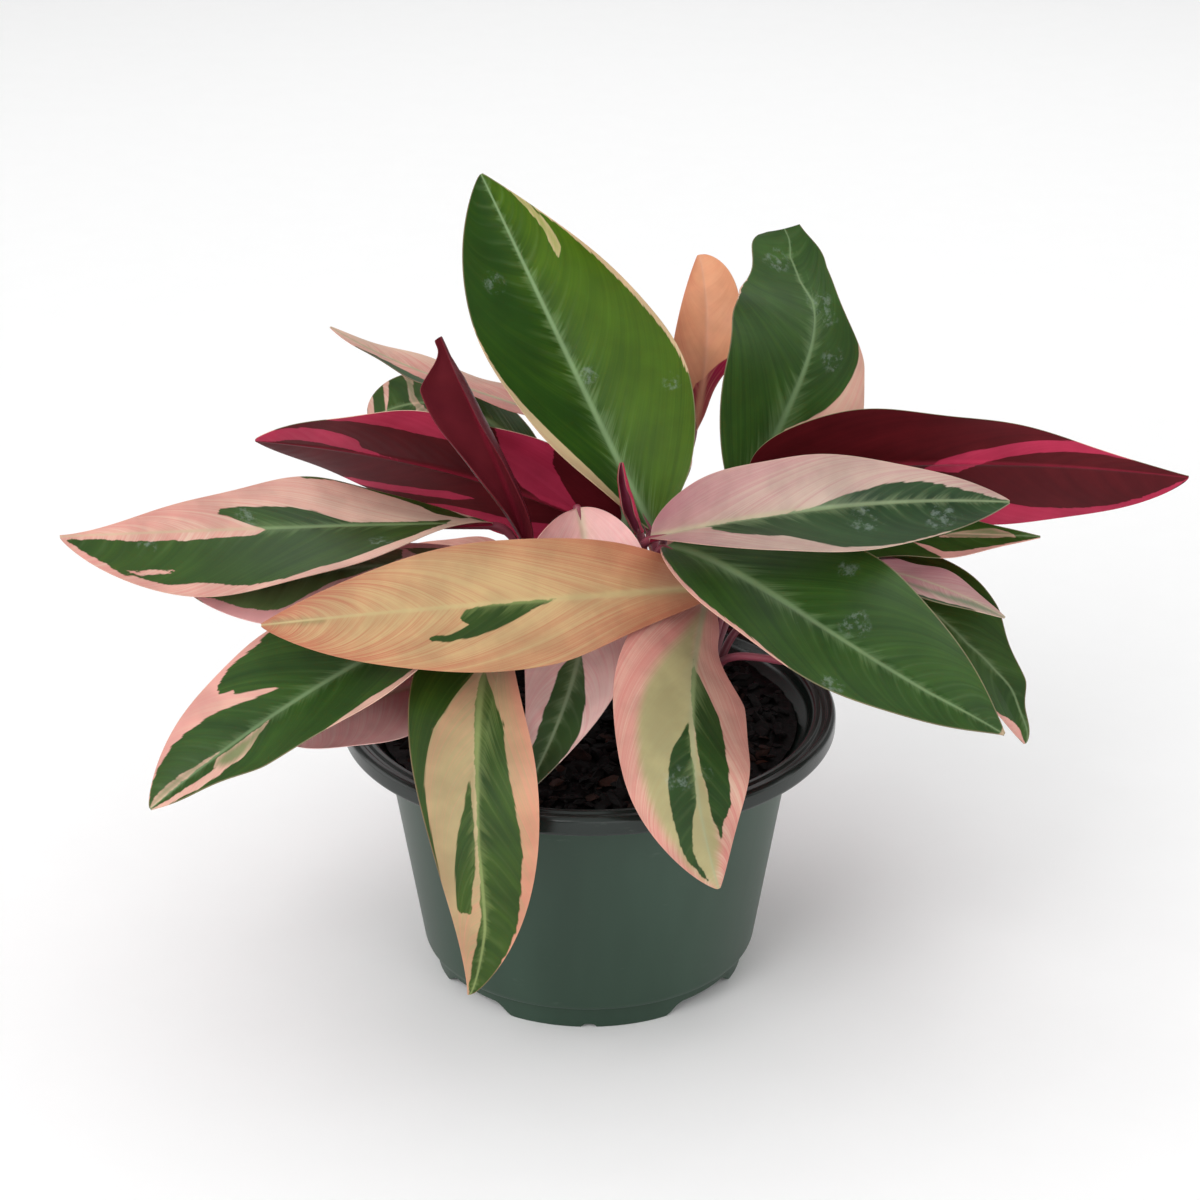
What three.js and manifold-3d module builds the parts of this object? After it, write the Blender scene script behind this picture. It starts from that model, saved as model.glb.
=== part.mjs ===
// Stromanthe, a prayer plant with leaves patterned in green, cream and pink, in a squat nursery pot.
//
// Millimetres, +Z up. -Y is the front of the plant and +X its right-hand side. Everything is drawn
// round the pot's axis, and the whole plant is then moved so that the origin lies on the surface
// that it stands on, under the middle of its outline.
//
// Pieces: the pot, the potting mix, and one piece for each leaf with its stalk. Every stalk stands
// in a plain hole in the potting mix.

import * as THREE from 'three';
import { mergeVertices } from 'three/addons/utils/BufferGeometryUtils.js';
import Module from 'manifold-3d';

const wasm = await Module();
wasm.setup();

// ---- Driving dimensions ------------------------------------------------------------------------

const pot = {
  height: 114,
  rimRadius: 100, // outside of the rolled rim, an eight inch pot
  rimDepth: 7.4, // height of the rim's outer band
  mouthRadius: 90.5, // opening at the top of the rim
  neckRadius: 83.3, // outside of the wall just under the rim
  neckZ: 103,
  heelRadius: 68.6, // outside of the wall just above the foot
  heelZ: 12.5,
  footRadius: 63.4,
  footZ: 10, // the foot is a ring this high, which lifts the floor
  wall: 1.8,
  floorTop: 14,
  segments: 36,
};

// The foot is broken by four shallow gaps, which leave a foot at the front, one on either side and
// one at the back.
const gap = {
  azimuths: [47.5, 132.5, 227.5, 312.5], // middle of each gap, degrees from the front
  halfAngle: 18.5,
  height: 4.8,
  archWidth: 12, // width of the arch that rounds each end of a gap
  roundShare: 0.7, // rounding of an arch, as a share of its height or of half its width
  reach: 9, // how far the cut goes to either side of the foot's outside
  holeRadius: 5, // drain hole in the floor behind each gap
  holeSides: 10,
  holeDepth: 12,
  holeAt: 53, // its distance from the middle
  nickWidth: 5.5, // small nick in the foot at the very front
  nickHeight: 1.6,
};

const soil = {
  topZ: 107.2,
  topRadius: 84.4,
  clearance: 0.4, // gap to the pot on every side
  rings: 10,
  segments: 36,
  chip: 13, // size of a bark chip
  chipLift: 2.6, // how much the highest chip stands up
  holeSides: 8,
  holeTop: 6, // how far a stalk's hole is cut above the surface
};

const stalk = {
  radius: 2,
  sides: 5,
  steps: 10,
  foot: 94, // lower end of every stalk, inside the potting mix
  collar: 109, // stalks leave the potting mix upright as far as this height
  holeGap: 0.6, // play of a stalk in its hole
  bendPoints: 6, // points on the curve from the collar to the blade
  under: [0.03, 0.07], // how far along the midrib it runs on under the blade
  sink: 0.6, // how deep it lies in the blade there, as a share of the thickness
};

const blade = {
  alongCells: 10,
  acrossCells: 6,
  margin: 1.0, // thickness at the margin
  keel: 1.5, // extra thickness under the midrib, at the stalk
  end: 0.6, // half-width at the pointed ends
  wave: 1.3, // how far the margin waves up and down
  waves: 2.5, // waves along one margin
  leafShift: 0.37, // how far the waves shift from one leaf to the next, in waves
  halfShift: 0.3, // how far the right margin's waves are ahead of the left one's
};

// Colours of the upper faces, or of the undersides on leaves that turn them to the front.
const green = 0x35602a;
const peach = 0xd9aa7e;
const salmon = 0xe6b3a0;
const blush = 0xd3a3a4;
const magenta = 0x8f1f4f;
const maroon = 0x5a1e2a;
const plastic = 0x38473f;
const bark = 0x2b1d16;

// How rough each kind of surface is.
const plasticRough = 0.45;
const barkRough = 0.95;
const leafRough = 0.5;

// One entry for each leaf.
//   root     where its stalk leaves the potting mix, x and y
//   rise     how upright the stalk starts, as a share of the distance to the blade
//   bend     length of the bend that brings the stalk into line with the blade
//   rib      the midrib as a cubic Bezier curve, from the stalk to the tip
//   face     direction that the upper face looks to: azimuth from the front, and elevation
//   twist    turn of the blade about its midrib, from base to tip
//   fold     angle of each half to the flat, at the midrib
//   curl     further bend of each half, from midrib to margin
//   half     half-width of the left and of the right half where each is widest
//   swell    powers that round the outline at the stalk, left and right
//   taper    powers that point the outline at the tip, left and right
//   blunt    half-width that is left at the tip
//   nips     shallow bays of the outline: middle and half-length along the midrib, side -1 or 1,
//            and the share of the half-width that it takes away; below 0 it is a bulge
const usual = { rise: 0.6, bend: 12, twist: 0, blunt: 0, nips: [] };

const leaves = [
  {
    name: 'leaf_tall_green', colour: green, root: [20, 8],
    rib: [[25, 16, 184], [3, 32, 225], [-19, 50, 269], [-43, 68, 316]], bend: 20,
    face: [15, 30], twist: -55, fold: 20, curl: 25,
    half: [41.5, 41.5], swell: [0.73, 0.66], taper: [0.85, 0.95],
  },
  {
    name: 'leaf_upright_right', colour: green, root: [30, 23],
    rib: [[63, 32, 188], [90, 57, 245], [102, 58, 256], [79, 84, 288]], bend: 18,
    face: [35, 10], twist: 25, fold: 0, curl: 10,
    half: [44, 35], swell: [0.58, 0.3], taper: [0.41, 1.09], blunt: 9,
    nips: [[0.68, 0.2, 1, 0.3], [0.93, 0.1, 1, -0.4], [0.93, 0.2, -1, 0.3]],
  },
  {
    name: 'leaf_young_peach', colour: peach, root: [22, 32],
    rib: [[43, 62, 208], [49, 69, 232], [50, 77, 257], [45, 84, 277]], rise: 0.4, bend: 40,
    face: [0, 10], twist: 5, fold: 10, curl: 15,
    half: [14, 14], swell: [0.56, 1.1], taper: [0.9, 0.6],
    nips: [[0.2, 0.22, 1, 0.4]],
  },
  {
    name: 'leaf_centre_spear', colour: magenta, root: [17, -2],
    rib: [[20, 1, 189], [17, 0, 198], [14, 1, 208], [13, 3, 218]], bend: 20,
    face: [-15, 30], twist: -5, fold: 25, curl: 95,
    half: [6, 6], swell: [0.68, 0.62], taper: [0.81, 0.89],
  },
  {
    name: 'leaf_rolled_maroon', colour: maroon, root: [-9, -2],
    rib: [[-24, -4, 183], [-32, 2, 211], [-46, 9, 237], [-58, 18, 265]], bend: 20,
    face: [19, -37], twist: -29, fold: 32, curl: 81,
    half: [27, 15], swell: [0.9, 0.5], taper: [0.32, 0.42],
    nips: [[0.96, 0.13, -1, 0.8], [0.95, 0.16, 1, 0.75]],
  },
  {
    name: 'leaf_left_underside', colour: maroon, root: [0, 14],
    rib: [[12, 21, 181], [-43, 35, 203], [-89, 40, 209], [-135, 40, 213]], bend: 16,
    face: [180, 35], twist: -10, fold: 0, curl: 5,
    half: [36, 34.5], swell: [0.42, 0.5], taper: [0.78, 0.85],
  },
  {
    name: 'leaf_back_left_blush', colour: blush, root: [8, 22],
    rib: [[1, 46, 215], [-38, 71, 221], [-74, 89, 222], [-108, 98, 241]], bend: 16,
    face: [88, 68], twist: -5, fold: 0, curl: 4,
    half: [12, 21], swell: [0.66, 0.54], taper: [0.85, 1.04],
  },
  {
    name: 'leaf_back_left_green', colour: green, root: [-6, 26],
    rib: [[-14, 66, 181], [-38, 82, 212], [-65, 94, 218], [-94, 102, 198]], bend: 14,
    face: [5, 66], twist: -20, fold: 0, curl: 4,
    half: [18, 18], swell: [0.6, 0.9], taper: [0.9, 0.4],
  },
  {
    name: 'leaf_left_long', colour: green, root: [-20, -2],
    rib: [[-38, 1, 193], [-94, -21, 202], [-149, -37, 206], [-201, -48, 208]], bend: 14,
    face: [-10, 73], twist: -71, fold: 3, curl: 8,
    half: [39.5, 35.5], swell: [0.85, 0.45], taper: [0.88, 1.62],
  },
  {
    name: 'leaf_left_lower', colour: green, root: [-10, -10],
    rib: [[-21, -20, 185], [-67, -27, 190], [-111, -36, 190], [-153, -48, 185]], bend: 14,
    face: [0, 80], twist: -5, fold: -10, curl: -5,
    half: [36, 27], swell: [0.75, 0.55], taper: [0.81, 1.09],
    nips: [[0.2, 0.25, 1, 0.35]],
  },
  {
    name: 'leaf_low_left', colour: green, root: [-20, -16],
    rib: [[-34, -34, 175], [-82, -71, 174], [-124, -98, 155], [-163, -114, 126]],
    face: [-40, 50], twist: -35, fold: 10, curl: 15,
    half: [33, 30], swell: [0.59, 0.72], taper: [0.99, 0.81],
    nips: [[0.85, 0.13, -1, 0.22]],
  },
  {
    name: 'leaf_low_left_blush', colour: blush, root: [-34, -12],
    rib: [[-35, -27, 137], [-62, -49, 150], [-88, -67, 150], [-113, -80, 136]], bend: 8,
    face: [-10, 60], twist: -12, fold: 8, curl: 14,
    half: [27.5, 27.5], swell: [0.72, 0.59], taper: [0.77, 0.94],
  },
  {
    name: 'leaf_front_peach', colour: peach, root: [46, -6],
    rib: [[53, -9, 170], [-8, -67, 191], [-66, -92, 198], [-122, -83, 187]], rise: 0.62,
    face: [5, 40], fold: 5, curl: 10,
    half: [27.5, 23.5], swell: [0.84, 0.76], taper: [0.9, 1],
    nips: [[0.12, 0.3, -1, 0.3]],
  },
  {
    name: 'leaf_centre_arching', colour: blush, root: [4, 6],
    rib: [[-4, -5, 202], [4, -17, 172], [-1, -43, 145], [-24, -86, 118]], rise: 0.6, bend: 3,
    face: [6, 61], twist: 24, fold: 16, curl: 22,
    half: [26.5, 30], swell: [0.58, 0.4], taper: [0.8, 1],
  },
  {
    name: 'leaf_hanging_left', colour: green, root: [-17, -27],
    rib: [[-31, -47, 167], [-39, -105, 157], [-43, -131, 120], [-45, -126, 53]], rise: 0.62, bend: 10,
    face: [5, 30], fold: 0, curl: 10,
    half: [23, 31], swell: [1.3, 0.5], taper: [0.75, 1.5],
  },
  {
    name: 'leaf_hanging_right', colour: salmon, root: [35, 0],
    rib: [[48, 0, 163], [37, -72, 161], [36, -112, 139], [49, -121, 96]], bend: 10,
    face: [22, 23], twist: 1, fold: -6, curl: 0,
    half: [25.5, 31.5], swell: [0.7, 0.7], taper: [0.9, 0.85],
    nips: [[0.17, 0.16, -1, 0.42]],
  },
  {
    name: 'leaf_right_pink', colour: blush, root: [13, -11],
    rib: [[24, -11, 192], [67, -47, 218], [112, -58, 229], [160, -45, 221]],
    face: [5, 50], twist: 30, fold: 15, curl: 25,
    half: [21, 28], swell: [0.45, 0.95], taper: [0.9, 1],
    nips: [[0.2, 0.2, 1, 0.1]],
  },
  {
    name: 'leaf_far_right_underside', colour: maroon, root: [34, 14],
    rib: [[64, 26, 203], [118, 31, 209], [176, 27, 211], [239, 15, 207]], bend: 14,
    face: [180, 25], twist: -15, fold: 0, curl: 5,
    half: [36.5, 31], swell: [0.85, 0.45], taper: [0.78, 1.27],
  },
  {
    name: 'leaf_right_second', colour: green, root: [43, 7],
    rib: [[68, 10, 186], [103, 12, 185], [140, 11, 185], [180, 6, 185]],
    face: [0, 83], twist: 8, fold: 3, curl: 9,
    half: [24, 27], swell: [0.45, 0.75], taper: [1.2, 1],
  },
  {
    name: 'leaf_right_front_green', colour: green, root: [26, -12],
    rib: [[30, -15, 190], [73, -69, 193], [115, -96, 178], [156, -96, 148]], bend: 10,
    face: [20, 50], twist: 30, fold: 10, curl: 15,
    half: [32.5, 32.5], swell: [0.65, 0.8], taper: [1, 1.15],
  },
  {
    name: 'leaf_right_narrow', colour: blush, root: [48, 0],
    rib: [[71, 12, 168], [97, -26, 191], [126, -49, 196], [158, -65, 182]],
    face: [65, 60], twist: -10, fold: 0, curl: 5,
    half: [20, 25], swell: [0.57, 0.63], taper: [0.95, 0.85],
  },
  {
    name: 'leaf_right_drooping', colour: green, root: [52, 16],
    rib: [[76, 20, 151], [117, 16, 174], [149, -7, 164], [171, -48, 120]],
    face: [50, 55], fold: 5, curl: 10,
    half: [27.5, 30.5], swell: [0.63, 0.57], taper: [0.76, 0.84],
    nips: [[0.78, 0.12, -1, 0.15], [0.93, 0.07, -1, 0.3]],
  },
  {
    name: 'leaf_right_hidden', colour: green, root: [46, -16],
    rib: [[80, -38, 152], [106, -54, 158], [125, -62, 153], [138, -64, 140]], rise: 0.75, bend: 26,
    face: [30, 70], fold: 10, curl: 15,
    half: [22, 22], swell: [0.65, 0.65], taper: [0.9, 0.9],
  },
  {
    name: 'leaf_rear_middle', colour: green, root: [14, 30],
    rib: [[14, 46, 164], [17, 83, 184], [15, 129, 181], [10, 182, 147]], bend: 14,
    face: [180, 80], fold: 10, curl: 15,
    half: [29, 29], swell: [0.65, 0.65], taper: [0.9, 0.9],
  },
  {
    name: 'leaf_rear_right', colour: green, root: [40, 30],
    rib: [[60, 54, 150], [93, 84, 170], [124, 115, 158], [152, 148, 114]], bend: 14,
    face: [140, 75], fold: 10, curl: 15,
    half: [31, 31], swell: [0.65, 0.65], taper: [0.9, 0.9],
  },
  {
    name: 'leaf_rear_left', colour: green, root: [-14, 16],
    rib: [[-30, 48, 134], [-65, 83, 142], [-97, 110, 128], [-128, 133, 88]], bend: 14,
    face: [220, 75], fold: 10, curl: 15,
    half: [31, 31], swell: [0.65, 0.65], taper: [0.9, 0.9],
  },
  {
    name: 'leaf_rear_low_right', colour: green, root: [30, 42],
    rib: [[36, 66, 140], [53, 97, 155], [65, 133, 138], [74, 170, 90]],
    face: [165, 70], fold: 10, curl: 15,
    half: [29, 29], swell: [0.65, 0.65], taper: [0.9, 0.9],
  },
  {
    name: 'leaf_rear_low_left', colour: green, root: [-2, 38],
    rib: [[-2, 62, 122], [-18, 98, 130], [-34, 130, 114], [-50, 156, 72]],
    face: [200, 70], fold: 10, curl: 15,
    half: [29, 29], swell: [0.65, 0.65], taper: [0.9, 0.9],
  },
];

// ---- Helpers -----------------------------------------------------------------------------------

const vector = ([x, y, z]) => new THREE.Vector3(x, y, z);
const radians = THREE.MathUtils.degToRad;

// Closed solid from a geometry whose corners are shared once its normals and uvs are gone.
function toSolid(geometry) {
  geometry.deleteAttribute('normal');
  geometry.deleteAttribute('uv');
  const merged = mergeVertices(geometry, 1e-4);
  return new wasm.Manifold(new wasm.Mesh({
    numProp: 3,
    vertProperties: new Float32Array(merged.attributes.position.array),
    triVerts: new Uint32Array(merged.index.array),
  }));
}

function toGeometry(solid) {
  const mesh = solid.getMesh();
  const geometry = new THREE.BufferGeometry();
  geometry.setAttribute('position', new THREE.BufferAttribute(mesh.vertProperties, 3));
  geometry.setIndex(new THREE.BufferAttribute(mesh.triVerts, 1));
  geometry.computeVertexNormals();
  return geometry;
}

function addPiece(group, name, solid, colour, roughness) {
  const material = new THREE.MeshStandardMaterial({ color: colour, roughness, metalness: 0 });
  const mesh = new THREE.Mesh(toGeometry(solid), material);
  mesh.name = name;
  group.add(mesh);
}

function revolve(profile, segments) {
  const points = profile.map(([radius, z]) => new THREE.Vector2(radius, z));
  return new THREE.LatheGeometry(points, segments).rotateX(Math.PI / 2);
}

// ---- Pot ---------------------------------------------------------------------------------------

// Inside radius of the pot's wall at a height.
function insideRadius(z) {
  const share = (z - pot.heelZ) / (pot.neckZ - pot.heelZ);
  return THREE.MathUtils.lerp(pot.heelRadius, pot.neckRadius, share) - pot.wall;
}

function potSolid() {
  const { height, rimRadius, rimDepth, mouthRadius, neckRadius, neckZ, wall } = pot;
  const skirtZ = height - rimDepth;
  const skirtInside = rimRadius - wall - 0.4;
  const plateZ = height - 2.2;
  const profile = [
    [0, pot.floorTop],
    [0, pot.footZ],
    [pot.footRadius - 4, pot.footZ],
    [pot.footRadius - 2.6, 0],
    [pot.footRadius, 0],
    [pot.footRadius + 0.8, pot.footZ],
    [pot.heelRadius - 0.7, pot.footZ + 0.9],
    [pot.heelRadius, pot.heelZ],
    [neckRadius, neckZ],
    [mouthRadius + 1, height - 4.6],
    [mouthRadius + 2.4, plateZ],
    [skirtInside, plateZ],
    [skirtInside, skirtZ],
    [rimRadius - 0.5, skirtZ],
    [rimRadius, skirtZ + 1],
    [rimRadius, height - 1.3],
    [rimRadius - 1.4, height],
    [mouthRadius + 1.2, height],
    [mouthRadius, height - 1],
    [mouthRadius - 1.4, height - 5],
    [insideRadius(neckZ), neckZ],
    [insideRadius(pot.floorTop), pot.floorTop],
    [0, pot.floorTop],
  ];
  return toSolid(revolve(profile, pot.segments));
}

// An arch that runs outwards from the middle, to cut a slot through the foot ring.
function archSolid(width, height) {
  const outline = new THREE.Shape();
  const round = Math.min(width / 2, height) * gap.roundShare;
  outline.moveTo(-width / 2, -1);
  outline.lineTo(-width / 2, height - round);
  outline.quadraticCurveTo(-width / 2, height, -width / 2 + round, height);
  outline.lineTo(width / 2 - round, height);
  outline.quadraticCurveTo(width / 2, height, width / 2, height - round);
  outline.lineTo(width / 2, -1);
  outline.closePath();
  const arch = new THREE.ExtrudeGeometry(outline, {
    depth: 2 * gap.reach, curveSegments: 3, bevelEnabled: false,
  });
  return arch.rotateX(Math.PI / 2).translate(0, gap.reach - pot.footRadius, 0);
}

// The flat part of a gap: a sector of a ring around the foot.
function sectorSolid(azimuth, halfAngle, height) {
  const from = radians(azimuth - halfAngle - 90);
  const to = radians(azimuth + halfAngle - 90);
  const sector = new THREE.Shape();
  sector.absarc(0, 0, pot.footRadius + gap.reach, from, to, false);
  sector.absarc(0, 0, pot.footRadius - gap.reach, to, from, true);
  const ring = new THREE.ExtrudeGeometry(sector, {
    depth: height + 1, curveSegments: 5, bevelEnabled: false,
  });
  return toSolid(ring.translate(0, 0, -1));
}

function drainedPot() {
  let solid = potSolid();
  const archAngle = THREE.MathUtils.radToDeg(gap.archWidth / 2 / pot.footRadius);
  const flat = gap.halfAngle - archAngle;
  for (const azimuth of gap.azimuths) {
    for (const end of [azimuth - flat, azimuth + flat]) {
      const arch = archSolid(gap.archWidth, gap.height).rotateZ(radians(end));
      solid = solid.subtract(toSolid(arch));
    }
    const { holeRadius, holeDepth, holeSides, holeAt } = gap;
    const hole = new THREE.CylinderGeometry(holeRadius, holeRadius, holeDepth, holeSides);
    hole.rotateX(Math.PI / 2).translate(0, -holeAt, pot.footZ + 2).rotateZ(radians(azimuth));
    solid = solid.subtract(sectorSolid(azimuth, flat, gap.height)).subtract(toSolid(hole));
  }
  return solid.subtract(toSolid(archSolid(gap.nickWidth, gap.nickHeight)));
}

// ---- Potting mix -------------------------------------------------------------------------------

// A repeatable number from 0 to 1 for a cell of the chip grid.
function cellNumber(column, row, salt) {
  const wave = Math.sin(column * 127.1 + row * 311.7 + salt * 74.7) * 43758.5453;
  return wave - Math.floor(wave);
}

// Height of the surface at a place: every spot takes the level of the bark chip nearest to it.
function chipHeight(x, y) {
  const column = Math.floor(x / soil.chip);
  const row = Math.floor(y / soil.chip);
  let nearest = Infinity;
  let level = 0;
  for (let i = column - 1; i <= column + 1; i += 1) {
    for (let j = row - 1; j <= row + 1; j += 1) {
      const chipX = (i + cellNumber(i, j, 1)) * soil.chip;
      const chipY = (j + cellNumber(i, j, 2)) * soil.chip;
      const distance = Math.hypot(x - chipX, y - chipY);
      if (distance < nearest) {
        nearest = distance;
        level = cellNumber(i, j, 3);
      }
    }
  }
  return (level - 0.5) * soil.chipLift;
}

function soilSolid(leaves) {
  const bottom = pot.floorTop + soil.clearance;
  const edge = soil.topRadius;
  const profile = [
    [0, bottom],
    [insideRadius(bottom) - soil.clearance, bottom],
    [insideRadius(pot.neckZ) - soil.clearance, pot.neckZ + 0.2],
  ];
  for (let ring = 0; ring <= soil.rings; ring += 1) {
    profile.push([edge * (1 - ring / soil.rings), soil.topZ]);
  }
  const geometry = revolve(profile, soil.segments);
  const place = geometry.attributes.position;
  for (let i = 0; i < place.count; i += 1) {
    const x = place.getX(i);
    const y = place.getY(i);
    if (place.getZ(i) > soil.topZ - 0.1) {
      place.setZ(i, soil.topZ + chipHeight(x, y));
    }
  }
  let solid = toSolid(geometry);
  for (const { root } of leaves) {
    const radius = stalk.radius + stalk.holeGap;
    const depth = soil.topZ + soil.holeTop - stalk.foot;
    const hole = new THREE.CylinderGeometry(radius, radius, depth, soil.holeSides);
    hole.rotateX(Math.PI / 2);
    hole.translate(root[0], root[1], stalk.foot - stalk.holeGap + depth / 2);
    solid = solid.subtract(toSolid(hole));
  }
  return solid;
}

// ---- Leaves ------------------------------------------------------------------------------------

// Direction, at a place along the midrib, that the upper face looks to and of the right-hand side.
function bladeFrame(leaf, rib, t) {
  const along = rib.getTangent(t);
  const [azimuth, elevation] = leaf.face.map(radians);
  const face = new THREE.Vector3(
    Math.cos(elevation) * Math.sin(azimuth),
    -Math.cos(elevation) * Math.cos(azimuth),
    Math.sin(elevation),
  );
  const up = face.addScaledVector(along, -face.dot(along)).normalize();
  up.applyAxisAngle(along, radians(leaf.twist) * (t - 0.5));
  return { up, side: along.clone().cross(up) };
}

// Half-width of the left (0) or right (1) half at t, from 0 at the stalk to 1 at the tip: t to the
// power of the swell times what is left to the tip to the power of the taper, scaled so that it
// reaches the half's full width where it is widest, less the nips.
function halfWidth(leaf, t, half) {
  const swell = leaf.swell[half];
  const taper = leaf.taper[half];
  const widest = swell / (swell + taper);
  const most = widest ** swell * (1 - widest) ** taper;
  let share = (Math.max(t, 0) ** swell * Math.max(1 - t, 0) ** taper) / most;
  for (const [middle, length, side, depth] of leaf.nips) {
    const bump = Math.max(1 - ((t - middle) / length) ** 2, 0) ** 2;
    if (side > 0 === half > 0) {
      share *= 1 - depth * bump;
    }
  }
  return blade.end + leaf.blunt * t ** 6 + leaf.half[half] * share;
}

// A point of the upper face at t along the midrib and s across, from -1 at the left margin to 1 at
// the right one, and the point of the underside below it. Each half follows an arc that leaves the
// midrib at the fold angle and turns by the curl, and the margin waves up and down.
function bladePoint(leaf, rib, t, s) {
  const { up, side } = bladeFrame(leaf, rib, t);
  const right = Math.sign(s);
  const share = Math.abs(s);
  const fold = radians(leaf.fold);
  const curl = radians(leaf.curl || 0.1);
  const angle = fold + curl * share;
  const half = halfWidth(leaf, t, right > 0 ? 1 : 0);
  const out = (half * (Math.sin(angle) - Math.sin(fold))) / curl;
  const lift = (half * (Math.cos(fold) - Math.cos(angle))) / curl;
  const turns = blade.waves * t + leaf.phase + (right > 0 ? blade.halfShift : 0);
  const wave = blade.wave * share ** 2 * Math.sin(2 * Math.PI * turns) * Math.sin(Math.PI * t);
  const normal = up.clone().multiplyScalar(right ? Math.cos(angle) : 1);
  normal.addScaledVector(side, -right * Math.sin(angle)).normalize();
  const top = rib.getPoint(t);
  top.addScaledVector(side, out * right).addScaledVector(up, lift + wave);
  const thickness = blade.margin + blade.keel * (1 - share) ** 3 * (1 - t);
  const bottom = top.clone().addScaledVector(normal, -thickness);
  return { top, bottom };
}

// The blade: two like grids of points, one for each face, closed along all four edges.
function bladeSolid(leaf, rib) {
  const rows = blade.alongCells;
  const columns = blade.acrossCells;
  const tops = [];
  const bottoms = [];
  for (let i = 0; i <= rows; i += 1) {
    const t = (1 - Math.cos((Math.PI * i) / rows)) / 2;
    for (let j = 0; j <= columns; j += 1) {
      const { top, bottom } = bladePoint(leaf, rib, t, (2 * j) / columns - 1);
      tops.push(top.x, top.y, top.z);
      bottoms.push(bottom.x, bottom.y, bottom.z);
    }
  }
  const under = (rows + 1) * (columns + 1);
  const at = (i, j) => i * (columns + 1) + j;
  const index = [];
  const quad = (a, b, c, d) => index.push(a, b, c, a, c, d);
  for (let i = 0; i < rows; i += 1) {
    for (let j = 0; j < columns; j += 1) {
      const [a, b, c, d] = [at(i, j), at(i, j + 1), at(i + 1, j + 1), at(i + 1, j)];
      quad(a, b, c, d);
      index.push(under + a, under + c, under + b, under + a, under + d, under + c);
    }
    quad(at(i, 0), at(i + 1, 0), under + at(i + 1, 0), under + at(i, 0));
    quad(at(i + 1, columns), at(i, columns), under + at(i, columns), under + at(i + 1, columns));
  }
  for (let j = 0; j < columns; j += 1) {
    quad(at(0, j + 1), at(0, j), under + at(0, j), under + at(0, j + 1));
    quad(at(rows, j), at(rows, j + 1), under + at(rows, j + 1), under + at(rows, j));
  }
  const geometry = new THREE.BufferGeometry();
  geometry.setAttribute('position', new THREE.Float32BufferAttribute([...tops, ...bottoms], 3));
  geometry.setIndex(index);
  return toSolid(geometry);
}

// The stalk: upright out of its hole, then a curve that comes into line with the midrib.
function stalkSolid(leaf, rib) {
  const [x, y] = leaf.root;
  const collar = new THREE.Vector3(x, y, stalk.collar);
  const join = rib.getPoint(0);
  const along = rib.getTangent(0);
  const reach = join.distanceTo(collar);
  const rise = new THREE.CubicBezierCurve3(
    collar,
    new THREE.Vector3(x, y, stalk.collar + leaf.rise * reach),
    join.clone().addScaledVector(along, -leaf.bend),
    join,
  );
  const route = [new THREE.Vector3(x, y, stalk.foot), ...rise.getPoints(stalk.bendPoints)];
  for (const t of stalk.under) {
    const { top, bottom } = bladePoint(leaf, rib, t, 0);
    route.push(top.lerp(bottom, stalk.sink));
  }
  const path = new THREE.CatmullRomCurve3(route, false, 'centripetal');
  const section = new THREE.Shape();
  for (let i = 0; i < stalk.sides; i += 1) {
    const turn = (2 * Math.PI * i) / stalk.sides;
    const corner = [stalk.radius * Math.cos(turn), stalk.radius * Math.sin(turn)];
    if (i === 0) {
      section.moveTo(...corner);
    } else {
      section.lineTo(...corner);
    }
  }
  section.closePath();
  return toSolid(new THREE.ExtrudeGeometry(section, {
    steps: stalk.steps, extrudePath: path, bevelEnabled: false,
  }));
}

function leafSolid(leaf) {
  const rib = new THREE.CubicBezierCurve3(...leaf.rib.map(vector));
  return bladeSolid(leaf, rib).add(stalkSolid(leaf, rib));
}

// ---- The plant ---------------------------------------------------------------------------------

const plant = new THREE.Group();
const grown = leaves.map((leaf, order) => (
  { ...usual, ...leaf, phase: order * blade.leafShift }
));

addPiece(plant, 'pot', drainedPot(), plastic, plasticRough);
addPiece(plant, 'potting_mix', soilSolid(grown), bark, barkRough);
for (const leaf of grown) {
  addPiece(plant, leaf.name, leafSolid(leaf), leaf.colour, leafRough);
}

const middle = new THREE.Box3().setFromObject(plant).getCenter(new THREE.Vector3());
plant.position.set(-middle.x, -middle.y, 0);

export default plant;
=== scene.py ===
"""Potted stromanthe: waved and veined leaves on their stalks, bark potting mix and a nursery pot.

Shapes are worked out in millimetres round the pot's axis, with -Y at the front and +X to the right,
and are put into the frame, in metres, when their meshes are made.
"""

import logging
import math
from dataclasses import dataclass, field
from enum import Enum
from typing import Sequence

import bpy
import numpy as np
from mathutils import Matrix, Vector


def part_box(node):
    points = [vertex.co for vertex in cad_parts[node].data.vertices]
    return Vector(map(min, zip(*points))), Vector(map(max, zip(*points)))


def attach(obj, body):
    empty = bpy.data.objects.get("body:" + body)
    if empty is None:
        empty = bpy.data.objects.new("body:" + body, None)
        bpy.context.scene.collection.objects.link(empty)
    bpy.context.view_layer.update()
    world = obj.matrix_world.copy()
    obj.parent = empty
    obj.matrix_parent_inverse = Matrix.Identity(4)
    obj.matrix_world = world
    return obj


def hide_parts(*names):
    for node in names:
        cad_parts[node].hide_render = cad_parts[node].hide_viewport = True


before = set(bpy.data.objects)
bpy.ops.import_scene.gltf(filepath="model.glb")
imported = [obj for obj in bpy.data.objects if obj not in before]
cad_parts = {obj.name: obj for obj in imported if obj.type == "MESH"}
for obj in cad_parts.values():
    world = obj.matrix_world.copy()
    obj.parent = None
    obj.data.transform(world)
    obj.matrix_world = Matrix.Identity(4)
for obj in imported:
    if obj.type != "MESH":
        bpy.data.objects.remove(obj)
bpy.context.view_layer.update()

log = logging.getLogger("stromanthe")

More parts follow.
